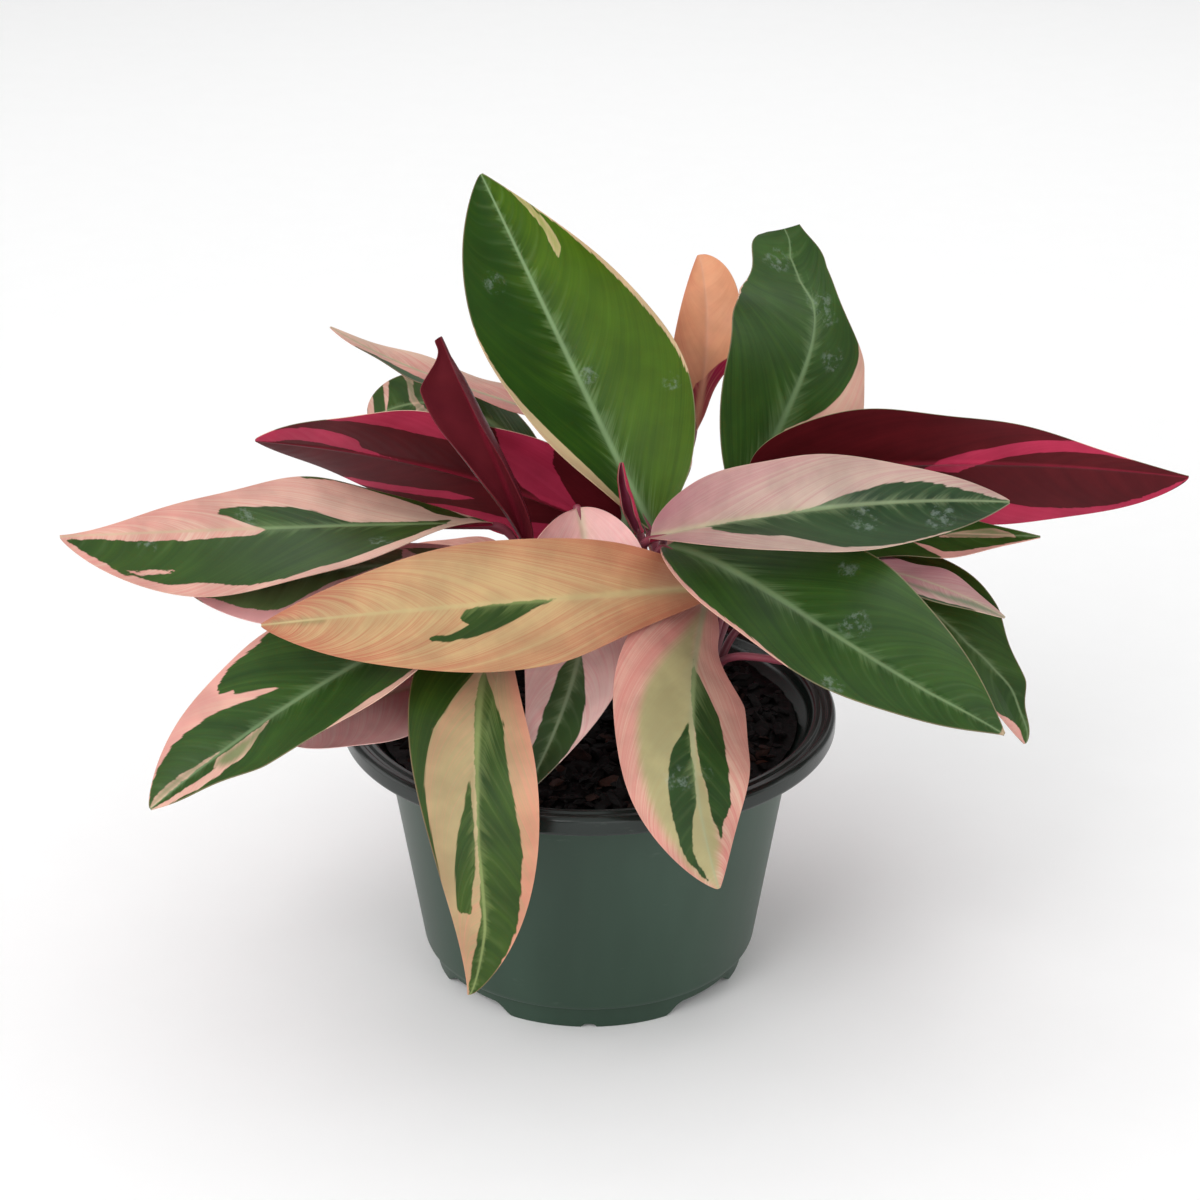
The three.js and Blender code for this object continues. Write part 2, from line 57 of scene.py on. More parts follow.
Array = np.ndarray
Colour = tuple[float, float, float, float]
Place = tuple[float, float]
Outline = tuple[Place, ...]
Socket = bpy.types.NodeSocket
Source = Socket | float | Colour

METRES = 0.001  # one millimetre in the frame
VEIN_GAP = 8.2  # from one main vein of a blade to the next, in millimetres
STRAIGHT = 0.05  # a path that turns by less than this, in radians, has no plane of its own
TINY = 1e-9  # keeps a division away from zero


def paint(red: int, green: int, blue: int) -> Colour:
    """A screen colour, 0 to 255 a channel, as the linear colour that a shader takes.

    The sRGB curve is undone: dark channels are divided, the others follow a power of 2.4.

    Args:
        red, green, blue: The three channels.

    Returns:
        Linear red, green and blue, and an alpha of one.
    """
    screen = np.array([red, green, blue]) / 255
    linear = np.where(screen < 0.04045, screen / 12.92, ((screen + 0.055) / 1.055) ** 2.4)
    return (*(float(channel) for channel in linear), 1.0)


WHITE = paint(255, 255, 255)


def unit(vectors: Array) -> Array:
    """Vectors divided by their lengths."""
    return vectors / np.linalg.norm(vectors, axis=-1, keepdims=True)


def lengths(path: Array) -> Array:
    """Length of a path up to each of its points."""
    return np.concatenate([[0], np.cumsum(np.linalg.norm(np.diff(path, axis=0), axis=1))])


def bezier(control: Sequence[Array | tuple[float, float, float]], t: Array) -> Array:
    """Points of a cubic Bezier curve: the control points weighed by 1, 3, 3 and 1 times the
    powers of 1 - t and of t.

    Args:
        control: The four control points.
        t: Places on the curve, 0 to 1.

    Returns:
        One point for each place.
    """
    a, b, c, d = (np.array(point, dtype=float) for point in control)
    t = np.asarray(t, dtype=float)[..., None]
    return (1 - t) ** 3 * a + 3 * (1 - t) ** 2 * t * b + 3 * (1 - t) * t ** 2 * c + t ** 3 * d


def pot_axis() -> Array:
    """Where the pot's axis stands in the frame, in metres: the middle of the pot's box."""
    low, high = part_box("pot")
    return np.array([(low.x + high.x) / 2, (low.y + high.y) / 2, 0.0])


# ---- Meshes ----------------------------------------------


@dataclass
class Shape:
    """One mesh in the making: blocks of corners, faces, finish numbers and values on corners.

    Attributes:
        points: Blocks of corners, in millimetres round the pot's axis.
        faces: Corner numbers of every face.
        finishes: Number of the finish of every face.
        values: Named values on the corners, one block for each block of corners.
    """

    points: list[Array] = field(default_factory=list)
    faces: list[tuple[int, ...]] = field(default_factory=list)
    finishes: list[int] = field(default_factory=list)
    values: dict[str, list[Array]] = field(default_factory=dict)

    def count(self) -> int:
        """Number of corners so far."""
        return sum(len(block) for block in self.points)

    def add(self, points: Array, faces: Array | list, finish: int | Array,
            values: dict[str, Array] | None = None) -> None:
        """Adds a block of corners with its faces.

        Args:
            points: Corners, one row each.
            faces: Corner numbers within the block, one row for each face.
            finish: Finish number of the faces, one for all or one each.
            values: Named values on the corners. A value that is left out is zero there.
        """
        start = self.count()
        rows = [tuple(int(corner) + start for corner in face) for face in faces]
        self.faces.extend(rows)
        self.finishes.extend(np.broadcast_to(finish, len(rows)).astype(int).tolist())
        given = values or {}
        for name in {**self.values, **given}:
            blocks = self.values.setdefault(name, [np.zeros(len(b)) for b in self.points])
            blocks.append(np.broadcast_to(given.get(name, 0.0), len(points)).astype(float))
        self.points.append(points)

    def build(self, name: str, materials: Sequence[bpy.types.Material],
              sharp: float = 60.0) -> bpy.types.Object:
        """Makes the mesh object, placed in the frame.

        Args:
            name: Name of the piece.
            materials: Its finishes, in the order of the finish numbers.
            sharp: Edges that turn by more than this angle, in degrees, stay sharp.

        Returns:
            The new object, which sits at the origin.
        """
        corners = np.concatenate(self.points) * METRES + pot_axis()
        mesh = bpy.data.meshes.new(name)
        mesh.from_pydata(corners.tolist(), [], self.faces)
        mesh.polygons.foreach_set("material_index", np.array(self.finishes, dtype=np.int32))
        for label, blocks in self.values.items():
            layer = mesh.attributes.new(label, "FLOAT", "POINT")
            layer.data.foreach_set("value", np.concatenate(blocks).astype(np.float32))
        for material in materials:
            mesh.materials.append(material)
        mesh.shade_smooth()
        mesh.set_sharp_from_angle(angle=math.radians(sharp))
        mesh.validate()
        piece = bpy.data.objects.new(name, mesh)
        bpy.context.scene.collection.objects.link(piece)
        return piece


def grid_faces(rows: int, columns: int, ring: bool) -> Array:
    """Faces of a grid of corners that is stored row by row.

    Args:
        rows, columns: Number of corners each way.
        ring: True where the last column joins the first.

    Returns:
        Four corner numbers for each face, one row of faces after another.
    """
    across = columns if ring else columns - 1
    row, column = np.meshgrid(np.arange(rows - 1), np.arange(across), indexing="ij")
    after = (column + 1) % columns
    corners = [row * columns + column, row * columns + after,
               (row + 1) * columns + after, (row + 1) * columns + column]
    return np.stack(corners, axis=-1).reshape(-1, 4)


def lathe(radius: Array, height: Array, azimuth: Array) -> tuple[Array, list[tuple[int, ...]]]:
    """A closed body of revolution, whose outline starts and ends on the axis.

    A point is (r sin a, -r cos a, z), with a the azimuth from the front. The two ends are single
    corners, joined to their neighbours by fans.

    Args:
        radius: Distance from the axis, one row for each outline point and one column an azimuth.
        height: Height, of the same form.
        azimuth: The azimuths, rising.

    Returns:
        The corners and the faces, which look outwards where the outline runs from the lower
        end to the upper one.
    """
    inner = slice(1, -1)
    ring = np.stack([radius[inner] * np.sin(azimuth), -radius[inner] * np.cos(azimuth),
                     height[inner]], axis=-1)
    rows, columns = ring.shape[:2]
    ends = np.array([[0, 0, height[0].mean()], [0, 0, height[-1].mean()]])
    points = np.concatenate([ring.reshape(-1, 3), ends])
    faces = [tuple(face) for face in grid_faces(rows, columns, ring=True)]
    first, last = rows * columns, rows * columns + 1
    here = np.arange(columns)
    after = (here + 1) % columns
    faces += [(first, b, a) for a, b in zip(here, after)]
    top = (rows - 1) * columns
    faces += [(last, top + a, top + b) for a, b in zip(here, after)]
    return points, faces


def tube(path: Array, radius: Array, sides: int) -> tuple[Array, list[tuple[int, ...]], Array]:
    """A round bar along a path: a circle carried square to the path, with both ends closed.

    Args:
        path: Points of the path.
        radius: Radius at each point.
        sides: Corners round the bar.

    Returns:
        The corners, the faces, and the turn round the bar, 0 to 1, of each corner.
    """
    along = unit(np.gradient(path, axis=0))
    bend = np.cross(along[0], along[-1])
    if np.linalg.norm(bend) < STRAIGHT:
        bend = np.array([1.0, 0.0, 0.0])
    side = unit(unit(bend) - (along @ unit(bend))[:, None] * along)
    up = np.cross(along, side)
    turn = np.arange(sides) / sides
    round_x = np.cos(2 * np.pi * turn)[None, :, None]
    round_y = np.sin(2 * np.pi * turn)[None, :, None]
    circle = side[:, None] * round_x + up[:, None] * round_y
    points = path[:, None] + radius[:, None, None] * circle
    rows = len(path)
    faces = [tuple(face) for face in grid_faces(rows, sides, ring=True)]
    faces.append(tuple(range(sides - 1, -1, -1)))
    faces.append(tuple(range((rows - 1) * sides, rows * sides)))
    return points.reshape(-1, 3), faces, np.tile(turn, rows)


def distance_inside(points: Array, outline: Array) -> Array:
    """Signed distance from flat points to a closed outline, positive inside it.

    The distance to each edge is that to the nearest point of the segment. A point is inside where
    the edges pass it an odd number of times on one side.

    Args:
        points: Flat points, one row each.
        outline: Corners of the outline, one row each, without a repeat of the first.

    Returns:
        One distance for each point.
    """
    start = outline[None]
    step = (np.roll(outline, -1, axis=0) - outline)[None]
    to_point = points[:, None] - start
    share = (to_point * step).sum(-1) / np.maximum((step ** 2).sum(-1), TINY)
    nearest = to_point - np.clip(share, 0, 1)[..., None] * step
    away = np.sqrt((nearest ** 2).sum(-1)).min(axis=1)
    x, y = to_point[..., 0], to_point[..., 1]
    rise = step[..., 1]
    passes = (y >= 0) != (y - rise >= 0)
    crossing = step[..., 0] * y / np.where(rise == 0, TINY, rise)
    inside = (passes & (x < crossing)).sum(axis=1) % 2 == 1
    return np.where(inside, away, -away)


def rounded(corners: Array, steps: int = 5) -> Array:
    """An outline with its corners rounded.

    Each corner gives way to a quadratic curve, with the corner as its middle control point, from
    one neighbouring edge to the other. It starts at the corner's rounding from it, or at 0.45 of
    the edge where that is less.

    Args:
        corners: Two coordinates and the rounding of each corner. The two ends stay as they are.
        steps: Points on each curve.

    Returns:
        The points of the outline.
    """
    place, size = corners[:, :2], corners[:, 2]
    back, ahead = place[:-2] - place[1:-1], place[2:] - place[1:-1]
    reach_back, reach_ahead = (np.linalg.norm(edge, axis=1) for edge in (back, ahead))
    start = place[1:-1] + back * np.minimum(size[1:-1] / reach_back, 0.45)[:, None]
    end = place[1:-1] + ahead * np.minimum(size[1:-1] / reach_ahead, 0.45)[:, None]
    share = np.linspace(0, 1, steps)[None, :, None]
    curve = ((1 - share) ** 2 * start[:, None] + 2 * share * (1 - share) * place[1:-1, None]
             + share ** 2 * end[:, None])
    return np.concatenate([place[:1], curve.reshape(-1, 2), place[-1:]])


def lump() -> tuple[Array, Array]:
    """A regular body of twenty triangles and radius one, as corners and faces."""
    golden = (1 + math.sqrt(5)) / 2
    corners = unit(np.array([
        (-1, golden, 0), (1, golden, 0), (-1, -golden, 0), (1, -golden, 0),
        (0, -1, golden), (0, 1, golden), (0, -1, -golden), (0, 1, -golden),
        (golden, 0, -1), (golden, 0, 1), (-golden, 0, -1), (-golden, 0, 1)], dtype=float))
    faces = np.array([
        (0, 11, 5), (0, 5, 1), (0, 1, 7), (0, 7, 10), (0, 10, 11), (1, 5, 9), (5, 11, 4),
        (11, 10, 2), (10, 7, 6), (7, 1, 8), (3, 9, 4), (3, 4, 2), (3, 2, 6), (3, 6, 8),
        (3, 8, 9), (4, 9, 5), (2, 4, 11), (6, 2, 10), (8, 6, 7), (9, 8, 1)])
    return corners, faces


def turned(roll: Array, tip: Array, spin: Array) -> Array:
    """Rotation matrices: a roll about X, then a tip about Y, then a spin about Z, in radians."""
    one, none = np.ones_like(roll), np.zeros_like(roll)

    def stack(*rows: tuple[Array, Array, Array]) -> Array:
        """Nine arrays as one array of matrices."""
        return np.stack([np.stack(row, axis=-1) for row in rows], axis=-2)

    about_x = stack((one, none, none), (none, np.cos(roll), -np.sin(roll)),
                    (none, np.sin(roll), np.cos(roll)))
    about_y = stack((np.cos(tip), none, np.sin(tip)), (none, one, none),
                    (-np.sin(tip), none, np.cos(tip)))
    about_z = stack((np.cos(spin), -np.sin(spin), none), (np.sin(spin), np.cos(spin), none),
                    (none, none, one))
    return about_z @ about_y @ about_x


# ---- Finishes --------------------------------------------


class Recipe:
    """A material in the making. Every method adds a node and returns what it puts out."""

    def __init__(self, name: str) -> None:
        """Starts an empty material.

        Args:
            name: Name of the material.
        """
        self.material = bpy.data.materials.new(name)
        self.material.use_nodes = True
        self.tree = self.material.node_tree
        self.tree.nodes.clear()

    def node(self, kind: str, inputs: dict[str | int, Source], output: str | int = 0,
             **settings: str | bool | int) -> Socket:
        """Adds a node.

        Args:
            kind: Blender's name for the node.
            inputs: What goes into its sockets, another node's output or a fixed value.
            output: Which of its outputs to return.
            **settings: Its other settings.

        Returns:
            The chosen output.
        """
        made = self.tree.nodes.new(kind)
        for name, setting in settings.items():
            setattr(made, name, setting)
        for name, source in inputs.items():
            if isinstance(source, bpy.types.NodeSocket):
                self.tree.links.new(source, made.inputs[name])
            else:
                made.inputs[name].default_value = source
        return made.outputs[output]

    def read(self, name: str) -> Socket:
        """A value that the mesh carries on its corners."""
        return self.node("ShaderNodeAttribute", {}, "Fac", attribute_name=name)

    def here(self) -> Socket:
        """The point on the piece, in metres."""
        return self.node("ShaderNodeTexCoord", {}, "Object")

    def height(self) -> Socket:
        """The height of the point above the floor, in metres."""
        return self.node("ShaderNodeSeparateXYZ", {0: self.here()}, "Z")

    def math(self, operation: str, first: Source, second: Source = 0.0) -> Socket:
        """A sum of one or two numbers, by Blender's name for the operation."""
        return self.node("ShaderNodeMath", {0: first, 1: second}, operation=operation)

    def times(self, first: Source, second: Source) -> Socket:
        """The product of two numbers."""
        return self.math("MULTIPLY", first, second)

    def plus(self, first: Source, second: Source) -> Socket:
        """The sum of two numbers."""
        return self.math("ADD", first, second)

    def swing(self, value: Source, size: float) -> Socket:
        """A number from 0 to 1 as one from minus half of the size to plus half of it."""
        return self.times(self.math("SUBTRACT", value, 0.5), size)

    def vector(self, x: Source, y: Source = 0.0, z: Source = 0.0) -> Socket:
        """Three numbers as one vector."""
        return self.node("ShaderNodeCombineXYZ", {"X": x, "Y": y, "Z": z})

    def stretch(self, vector: Socket, scale: tuple[float, float, float]) -> Socket:
        """A vector with each of its parts multiplied."""
        return self.node("ShaderNodeMapping", {"Vector": vector, "Scale": scale})

    def noise(self, vector: Socket, scale: float = 1.0, detail: float = 2.0,
              rough: float = 0.5) -> Socket:
        """Smooth noise from 0 to 1, with so many cells for each unit of the vector."""
        return self.node("ShaderNodeTexNoise", {"Vector": vector, "Scale": scale,
                                                "Detail": detail, "Roughness": rough}, "Fac")

    def step(self, value: Source, low: Source, high: Source, to_low: float = 0.0,
             to_high: float = 1.0) -> Socket:
        """An S-shaped step: to_low where the value is under low, to_high where it is over high."""
        return self.node("ShaderNodeMapRange", {
            "Value": value, "From Min": low, "From Max": high, "To Min": to_low,
            "To Max": to_high}, interpolation_type="SMOOTHSTEP")

    def mix(self, share: Source, first: Source, second: Source, way: str = "MIX") -> Socket:
        """Two colours mixed, by Blender's name for the way. The node's sockets 0, 6 and 7 take the
        share and the colours, and its output 2 is the mixed colour."""
        return self.node("ShaderNodeMix", {0: share, 6: first, 7: second}, 2,
                         data_type="RGBA", blend_type=way)

    def bump(self, height: Socket, depth: float, strength: float = 1.0) -> Socket:
        """Fine relief of the given depth in millimetres."""
        return self.node("ShaderNodeBump", {"Height": height, "Strength": strength,
                                            "Distance": depth * METRES})

    def finish(self, colour: Source, rough: Source, normal: Socket | None = None,
               **sockets: float | Colour) -> bpy.types.Material:
        """Closes the recipe with a surface shader.

        Args:
            colour: Base colour.
            rough: Roughness.
            normal: Relief, if there is any.
            **sockets: Fixed values of other sockets, named with underscores for spaces.

        Returns:
            The material.
        """
        inputs: dict[str | int, Source] = {"Base Color": colour, "Roughness": rough}
        if normal is not None:
            inputs["Normal"] = normal
        inputs.update({name.replace("_", " "): value for name, value in sockets.items()})
        shader = self.node("ShaderNodeBsdfPrincipled", inputs)
        end = self.tree.nodes.new("ShaderNodeOutputMaterial")
        self.tree.links.new(shader, end.inputs["Surface"])
        return self.material


class Look(Enum):
    """The finishes of the leaves, by the name of their material."""

    BRIGHT_GREEN = "bright_green"
    DEEP_GREEN = "deep_green"
    PINK_GREEN = "pink_green"
    PEACH = "peach"
    SAND = "sand"
    MAUVE = "mauve"
    SALMON = "salmon"
    ORANGE_PEACH = "orange_peach"
    ROLLED_MAGENTA = "rolled_magenta"
    ROLLED_MAROON = "rolled_maroon"
    # Brighter paints for leaves that lie in shade: painted light.
    SHADED = "shaded"


# What the mesh of a blade tells its finish, by Leaf.values.
# One of these values carries the painted light and shade on the green of each half.
BLADE_VALUES = ("vein", "across", "share", "along", "green", "grey", "blush", "scuff", "edge",
                "seed", "sun")

# Noise on a blade, from broad to fine: its name, how many cells it has for each millimetre from
# vein to vein and along a vein, and its detail.
GRAINS = (("cloud", 0.05, 0.03, 2.0), ("wide", 0.2, 0.02, 3.0), ("narrow", 0.8, 0.04, 2.0),
          ("thread", 2.6, 0.07, 1.0))


@dataclass(frozen=True)
class LeafFinish:
    """Both faces of a blade. The mesh says where the green and the greyed tissue lie, in
    millimetres inside their edges, and how its veins run.

    Attributes:
        look: Which finish it is.
        deep, bright: Darker and lighter green.
        rib: Midrib and veins in the green.
        pale, blush: The two tints of the tissue without green.
        grey: Tissue with a thin veil of green.
        margin: The thin edge.
        bone: Midrib in the tissue without green.
        under_deep, under_mid: The two tints of the underside below the green.
        under_hot, under_pink: The two tints of the underside below the rest.
        mottle: What the darker mottling leaves of a colour.
        chalk: Dried water marks and fine specks.
        rough: Roughness of both faces.
        relief: Depth of the fine relief along the veins, in millimetres.
        jagged: How far the edges of the green wander, in millimetres.
        streaks: How strongly the tissue without green is streaked along its veins.
        glow, core: Width of the midrib's light and of its bright middle, in millimetres: at the
            tip, and how much the rest of the leaf adds.
    """

    look: Look
    deep: Colour
    bright: Colour
    rib: Colour
    pale: Colour
    blush: Colour
    grey: Colour
    margin: Colour = paint(216, 186, 158)
    bone: Colour = paint(206, 178, 150)
    under_deep: Colour = paint(74, 15, 22)
    under_mid: Colour = paint(98, 23, 30)
    under_hot: Colour = paint(172, 36, 68)
    under_pink: Colour = paint(196, 60, 92)
    mottle: Colour = paint(232, 232, 232)
    chalk: Colour = paint(176, 190, 186)
    rough: float = 0.42
    relief: float = 0.06
    jagged: float = 1.1
    streaks: float = 0.9
    glow: Place = (1.0, 9.0)
    core: Place = (0.25, 1.5)

    def _grain(self, recipe: Recipe) -> dict[str, Socket]:
        """The values on the mesh, and noise that runs along the veins, from broad to fine."""
        found = {name: recipe.read(name) for name in BLADE_VALUES}
        found["reach"] = recipe.math("ABSOLUTE", found["across"])
        for name, vein, across, detail in GRAINS:
            place = recipe.vector(recipe.times(found["vein"], vein),
                                  recipe.times(found["across"], across), found["seed"])
            found[name] = recipe.noise(place, detail=detail)
        wander = recipe.plus(recipe.swing(found["wide"], self.jagged * 2),
                             recipe.swing(found["narrow"], self.jagged * 0.5))
        found["is_green"] = recipe.step(recipe.plus(found["green"], wander), -0.3, 0.3)
        found["is_grey"] = recipe.step(
            recipe.plus(found["grey"], recipe.times(wander, 2.0)), -2.6, 2.6)
        return found

    def _midrib(self, recipe: Recipe, grain: dict[str, Socket]) -> tuple[Socket, Socket]:
        """How strongly the midrib's glow and its bright core show: they narrow to the tip."""
        left = recipe.math("SUBTRACT", 1.05, grain["along"])
        uneven = recipe.times(recipe.step(grain["wide"], 0.35, 0.7, 0.45, 1.7),
                              recipe.plus(recipe.times(grain["narrow"], 0.8), 0.45))
        glow_tip, glow_rest = self.glow
        glow_width = recipe.times(recipe.plus(recipe.times(left, glow_rest), glow_tip), uneven)
        glow = recipe.step(recipe.math("DIVIDE", grain["reach"], glow_width), 1.0, 0.0)
        core_tip, core_rest = self.core
        core_width = recipe.plus(recipe.times(left, core_rest), core_tip)
        core = recipe.step(recipe.math("DIVIDE", grain["reach"], core_width), 1.5, 0.2)
        return glow, core

    def _lateral(self, recipe: Recipe, grain: dict[str, Socket]) -> Socket:
        """How strongly the side veins show: soft lines at uneven steps that fade outwards."""
        uneven = recipe.plus(grain["vein"], recipe.swing(grain["cloud"], 14.0))
        beat = recipe.math("FRACT", recipe.times(uneven, 1 / VEIN_GAP))
        line = recipe.step(recipe.math("ABSOLUTE", recipe.math("SUBTRACT", beat, 0.5)), 0.2, 0.0)
        near = recipe.step(grain["reach"], 16.0, 0.0, 0.02, 0.13)
        strength = recipe.times(near, recipe.step(grain["wide"], 0.3, 0.65, 0.15, 1.0))
        return recipe.times(line, recipe.times(strength, recipe.step(grain["share"], 1.0, 0.7)))

    def _wear(self, recipe: Recipe, grain: dict[str, Socket], colour: Socket) -> Socket:
        """Lays faint mottling, dried water marks and a few fine specks over a colour."""
        here = recipe.here()
        mottle = recipe.step(recipe.noise(here, 60.0, 3.0), 0.3, 0.7)
        colour = recipe.mix(1.0, colour, recipe.mix(mottle, self.mottle, WHITE), "MULTIPLY")
        smear = recipe.step(recipe.noise(here, 300.0, 5.0, 0.65), 0.46, 0.66)
        patch = recipe.plus(grain["scuff"], recipe.swing(recipe.noise(here, 90.0, 3.0), 1.1))
        mark = recipe.times(recipe.times(recipe.step(patch, 0.35, 0.75), smear), 0.22)
        mark = recipe.times(mark, recipe.step(grain["scuff"], 0.03, 0.3))
        speck = recipe.step(recipe.noise(here, 210.0, 5.0, 0.75), 0.7, 0.8, 0.0, 0.12)
        return recipe.mix(recipe.math("MAXIMUM", mark, speck), colour, self.chalk)

    def _close(self, recipe: Recipe, grain: dict[str, Socket], colour: Socket, relief: Socket,
               **sockets: float | Colour) -> bpy.types.Material:
        """Ends a recipe with the roughness and the fine relief that both faces share.

        Args:
            recipe: The recipe.
            grain: What _grain found.
            colour: Base colour.
            relief: What this face adds to the threads of the relief.
            **sockets: Fixed values of the shader's other sockets.

        Returns:
            The material.
        """
        rough = recipe.plus(recipe.swing(grain["narrow"], 0.14), self.rough)
        height = recipe.plus(recipe.times(grain["thread"], 0.4), relief)
        return recipe.finish(colour, rough, recipe.bump(height, self.relief, 0.5), **sockets)

    def top(self) -> bpy.types.Material:
        """The upper face: green laid over the pale tissue, with feathered light along the veins."""
        recipe = Recipe(self.look.value)
        grain = self._grain(recipe)
        glow, core = self._midrib(recipe, grain)
        lines = self._lateral(recipe, grain)
        # The green's lightness: random cloudy tone, plus the painted light and shade of each half
        # from the mesh.
        light = recipe.plus(grain["sun"], recipe.plus(
            recipe.swing(grain["cloud"], 1.0),
            recipe.plus(recipe.swing(grain["wide"], 0.9), recipe.swing(grain["narrow"], 0.45))))
        green = recipe.mix(recipe.step(light, -0.6, 0.9), self.deep, self.bright)
        feather = recipe.times(glow, recipe.step(grain["narrow"], 0.2, 0.8, 0.2, 0.48))
        green = recipe.mix(recipe.math("MAXIMUM", lines, feather), green, self.rib)
        tint = recipe.plus(grain["blush"], recipe.plus(
            recipe.swing(grain["wide"], 0.8 * self.streaks),
            recipe.plus(recipe.swing(grain["narrow"], 0.7 * self.streaks),
                        recipe.swing(grain["thread"], 0.6 * self.streaks))))
        pale = recipe.mix(recipe.step(tint, 0.0, 1.0), self.pale, self.blush)
        pale = recipe.mix(recipe.times(grain["is_grey"], 0.9), pale, self.grey)
        pale = recipe.mix(recipe.times(glow, 0.25), pale, self.bone)
        colour = recipe.mix(grain["is_green"], pale, green)
        core_colour = recipe.mix(grain["is_green"], self.bone, self.rib)
        colour = recipe.mix(recipe.times(core, 0.8), colour, core_colour)
        rim = recipe.step(grain["edge"], 0.6, 0.15, 0.0, 0.25)
        colour = self._wear(recipe, grain, recipe.mix(rim, colour, self.margin))
        relief = recipe.plus(recipe.times(grain["narrow"], 0.7), lines)
        return self._close(recipe, grain, colour, relief, Specular_IOR_Level=0.22,
                           Subsurface_Weight=0.05, Subsurface_Scale=0.003)

    def under(self) -> bpy.types.Material:
        """The underside: wine red below the green, hot pink below the rest, with a raised rib."""
        recipe = Recipe(self.look.value + "_underside")
        grain = self._grain(recipe)
        _, core = self._midrib(recipe, grain)
        light = recipe.plus(recipe.swing(grain["cloud"], 0.7), recipe.plus(
            recipe.swing(grain["wide"], 0.6), recipe.swing(grain["thread"], 0.25)))
        shade = recipe.step(light, -0.6, 0.6)
        deep = recipe.mix(shade, self.under_deep, self.under_mid)
        hot = recipe.mix(shade, self.under_hot, self.under_pink)
        colour = recipe.mix(grain["is_green"], hot, deep)
        veil = recipe.times(grain["is_grey"], recipe.math("SUBTRACT", 1.0, grain["is_green"]))
        colour = recipe.mix(recipe.times(veil, 0.6), colour, deep)
        colour = recipe.mix(recipe.times(core, 0.3), colour, self.under_hot)
        colour = self._wear(recipe, grain, colour)
        return self._close(recipe, grain, colour, recipe.times(grain["narrow"], 0.6),
                           Specular_IOR_Level=0.1)


@dataclass(frozen=True)
class StalkFinish:
    """A stalk: wine red at the foot, paler under the blade, with fine lengthwise streaks."""

    name: str = "stalk"
    foot: Colour = paint(84, 34, 44)
    top: Colour = paint(142, 68, 82)
    rough: float = 0.42

    def material(self) -> bpy.types.Material:
        """Mixes the two colours along the stalk."""
        recipe = Recipe(self.name)
        along, turn = recipe.read("along"), recipe.read("turn")
        streak = recipe.noise(recipe.vector(recipe.times(turn, 14.0), recipe.times(along, 3.0)))
        share = recipe.plus(recipe.step(along, 0.2, 1.0), recipe.swing(streak, 0.5))
        colour = recipe.mix(recipe.step(share, 0.0, 1.0), self.foot, self.top)
        return recipe.finish(colour, recipe.plus(recipe.swing(streak, 0.1), self.rough),
                             recipe.bump(streak, 0.1, 0.5), Subsurface_Weight=0.05,
                             Subsurface_Scale=0.004)


@dataclass(frozen=True)
class PotFinish:
    """Moulded dark green plastic with faint flow marks, dust and rubbed spots.

    Attributes:
        body, light: The two greens of the wall, in flow marks that lie round the pot.
        rim: A darker colour that the pot takes above rim_from, on its rim.
        dust: Rubbed and dusty spots.
        rim_from: Height in the frame above which the plastic turns darker, in metres.
        rim_blend: Height over which it does so.
        rough, rim_rough: Roughness of the wall and of the rim.
    """

    name: str = "pot_plastic"
    body: Colour = paint(34, 57, 43)
    light: Colour = paint(46, 69, 55)
    rim: Colour = paint(24, 33, 29)
    dust: Colour = paint(104, 116, 106)
    rim_from: float = 0.1035
    rim_blend: float = 0.002
    rough: float = 0.42
    rim_rough: float = 0.24

    def material(self) -> bpy.types.Material:
        """Mixes the colours by noise that is drawn out round the pot."""
        recipe = Recipe(self.name)
        here = recipe.here()
        flow = recipe.noise(recipe.stretch(here, (14.0, 14.0, 3.0)), 1.0, 4.0, 0.6)
        colour = recipe.mix(recipe.step(flow, 0.3, 0.7), self.body, self.light)
        high = recipe.step(recipe.height(), self.rim_from, self.rim_from + self.rim_blend)
        colour = recipe.mix(high, colour, self.rim)
        rubbed = recipe.noise(recipe.stretch(here, (60.0, 60.0, 240.0)), 1.0, 5.0, 0.7)
        colour = recipe.mix(recipe.step(rubbed, 0.62, 0.78, 0.0, 0.18), colour, self.dust)
        pores = recipe.noise(here, 900.0, 2.0)
        rough = recipe.plus(recipe.swing(flow, 0.1),
                            recipe.step(high, 0.0, 1.0, self.rough, self.rim_rough))
        return recipe.finish(colour, rough, recipe.bump(pores, 0.05, 0.35),
                             Specular_IOR_Level=0.4)


@dataclass(frozen=True)
class MixFinish:
    """Bark and peat. Every chip carries its own tone, from near black to reddish brown."""

    name: str = "bark_mix"
    dark: Colour = paint(9, 7, 6)
    red: Colour = paint(68, 43, 34)
    tan: Colour = paint(184, 146, 114)
    rough: float = 0.62

    def material(self) -> bpy.types.Material:
        """Mixes the tones by chip, with a grain on each chip."""
        recipe = Recipe(self.name)
        grain = recipe.noise(recipe.here(), 420.0, 4.0, 0.65)
        share = recipe.plus(recipe.read("tone"), recipe.swing(grain, 0.5))
        colour = recipe.mix(recipe.step(share, 0.48, 1.05), self.dark, self.red)
        colour = recipe.mix(recipe.step(share, 0.95, 1.15, 0.0, 0.85), colour, self.tan)
        return recipe.finish(colour, recipe.plus(recipe.swing(grain, 0.3), self.rough),
                             recipe.bump(grain, 0.5, 0.8), Specular_IOR_Level=0.15)


@dataclass(frozen=True)
class FloorFinish:
    """The pale table that the pot stands on: an even matt surface with a barely visible grain."""

    name: str = "pale_floor"
    tone: Colour = paint(249, 249, 249)
    light: Colour = paint(252, 252, 252)
    rough: float = 0.7

    def material(self) -> bpy.types.Material:
        """Mixes the two tones by a broad noise."""
        recipe = Recipe(self.name)
        colour = recipe.mix(recipe.noise(recipe.here(), 40.0), self.tone, self.light)
        return recipe.finish(colour, self.rough)


# ---- The pot and what fills it ---------------------------


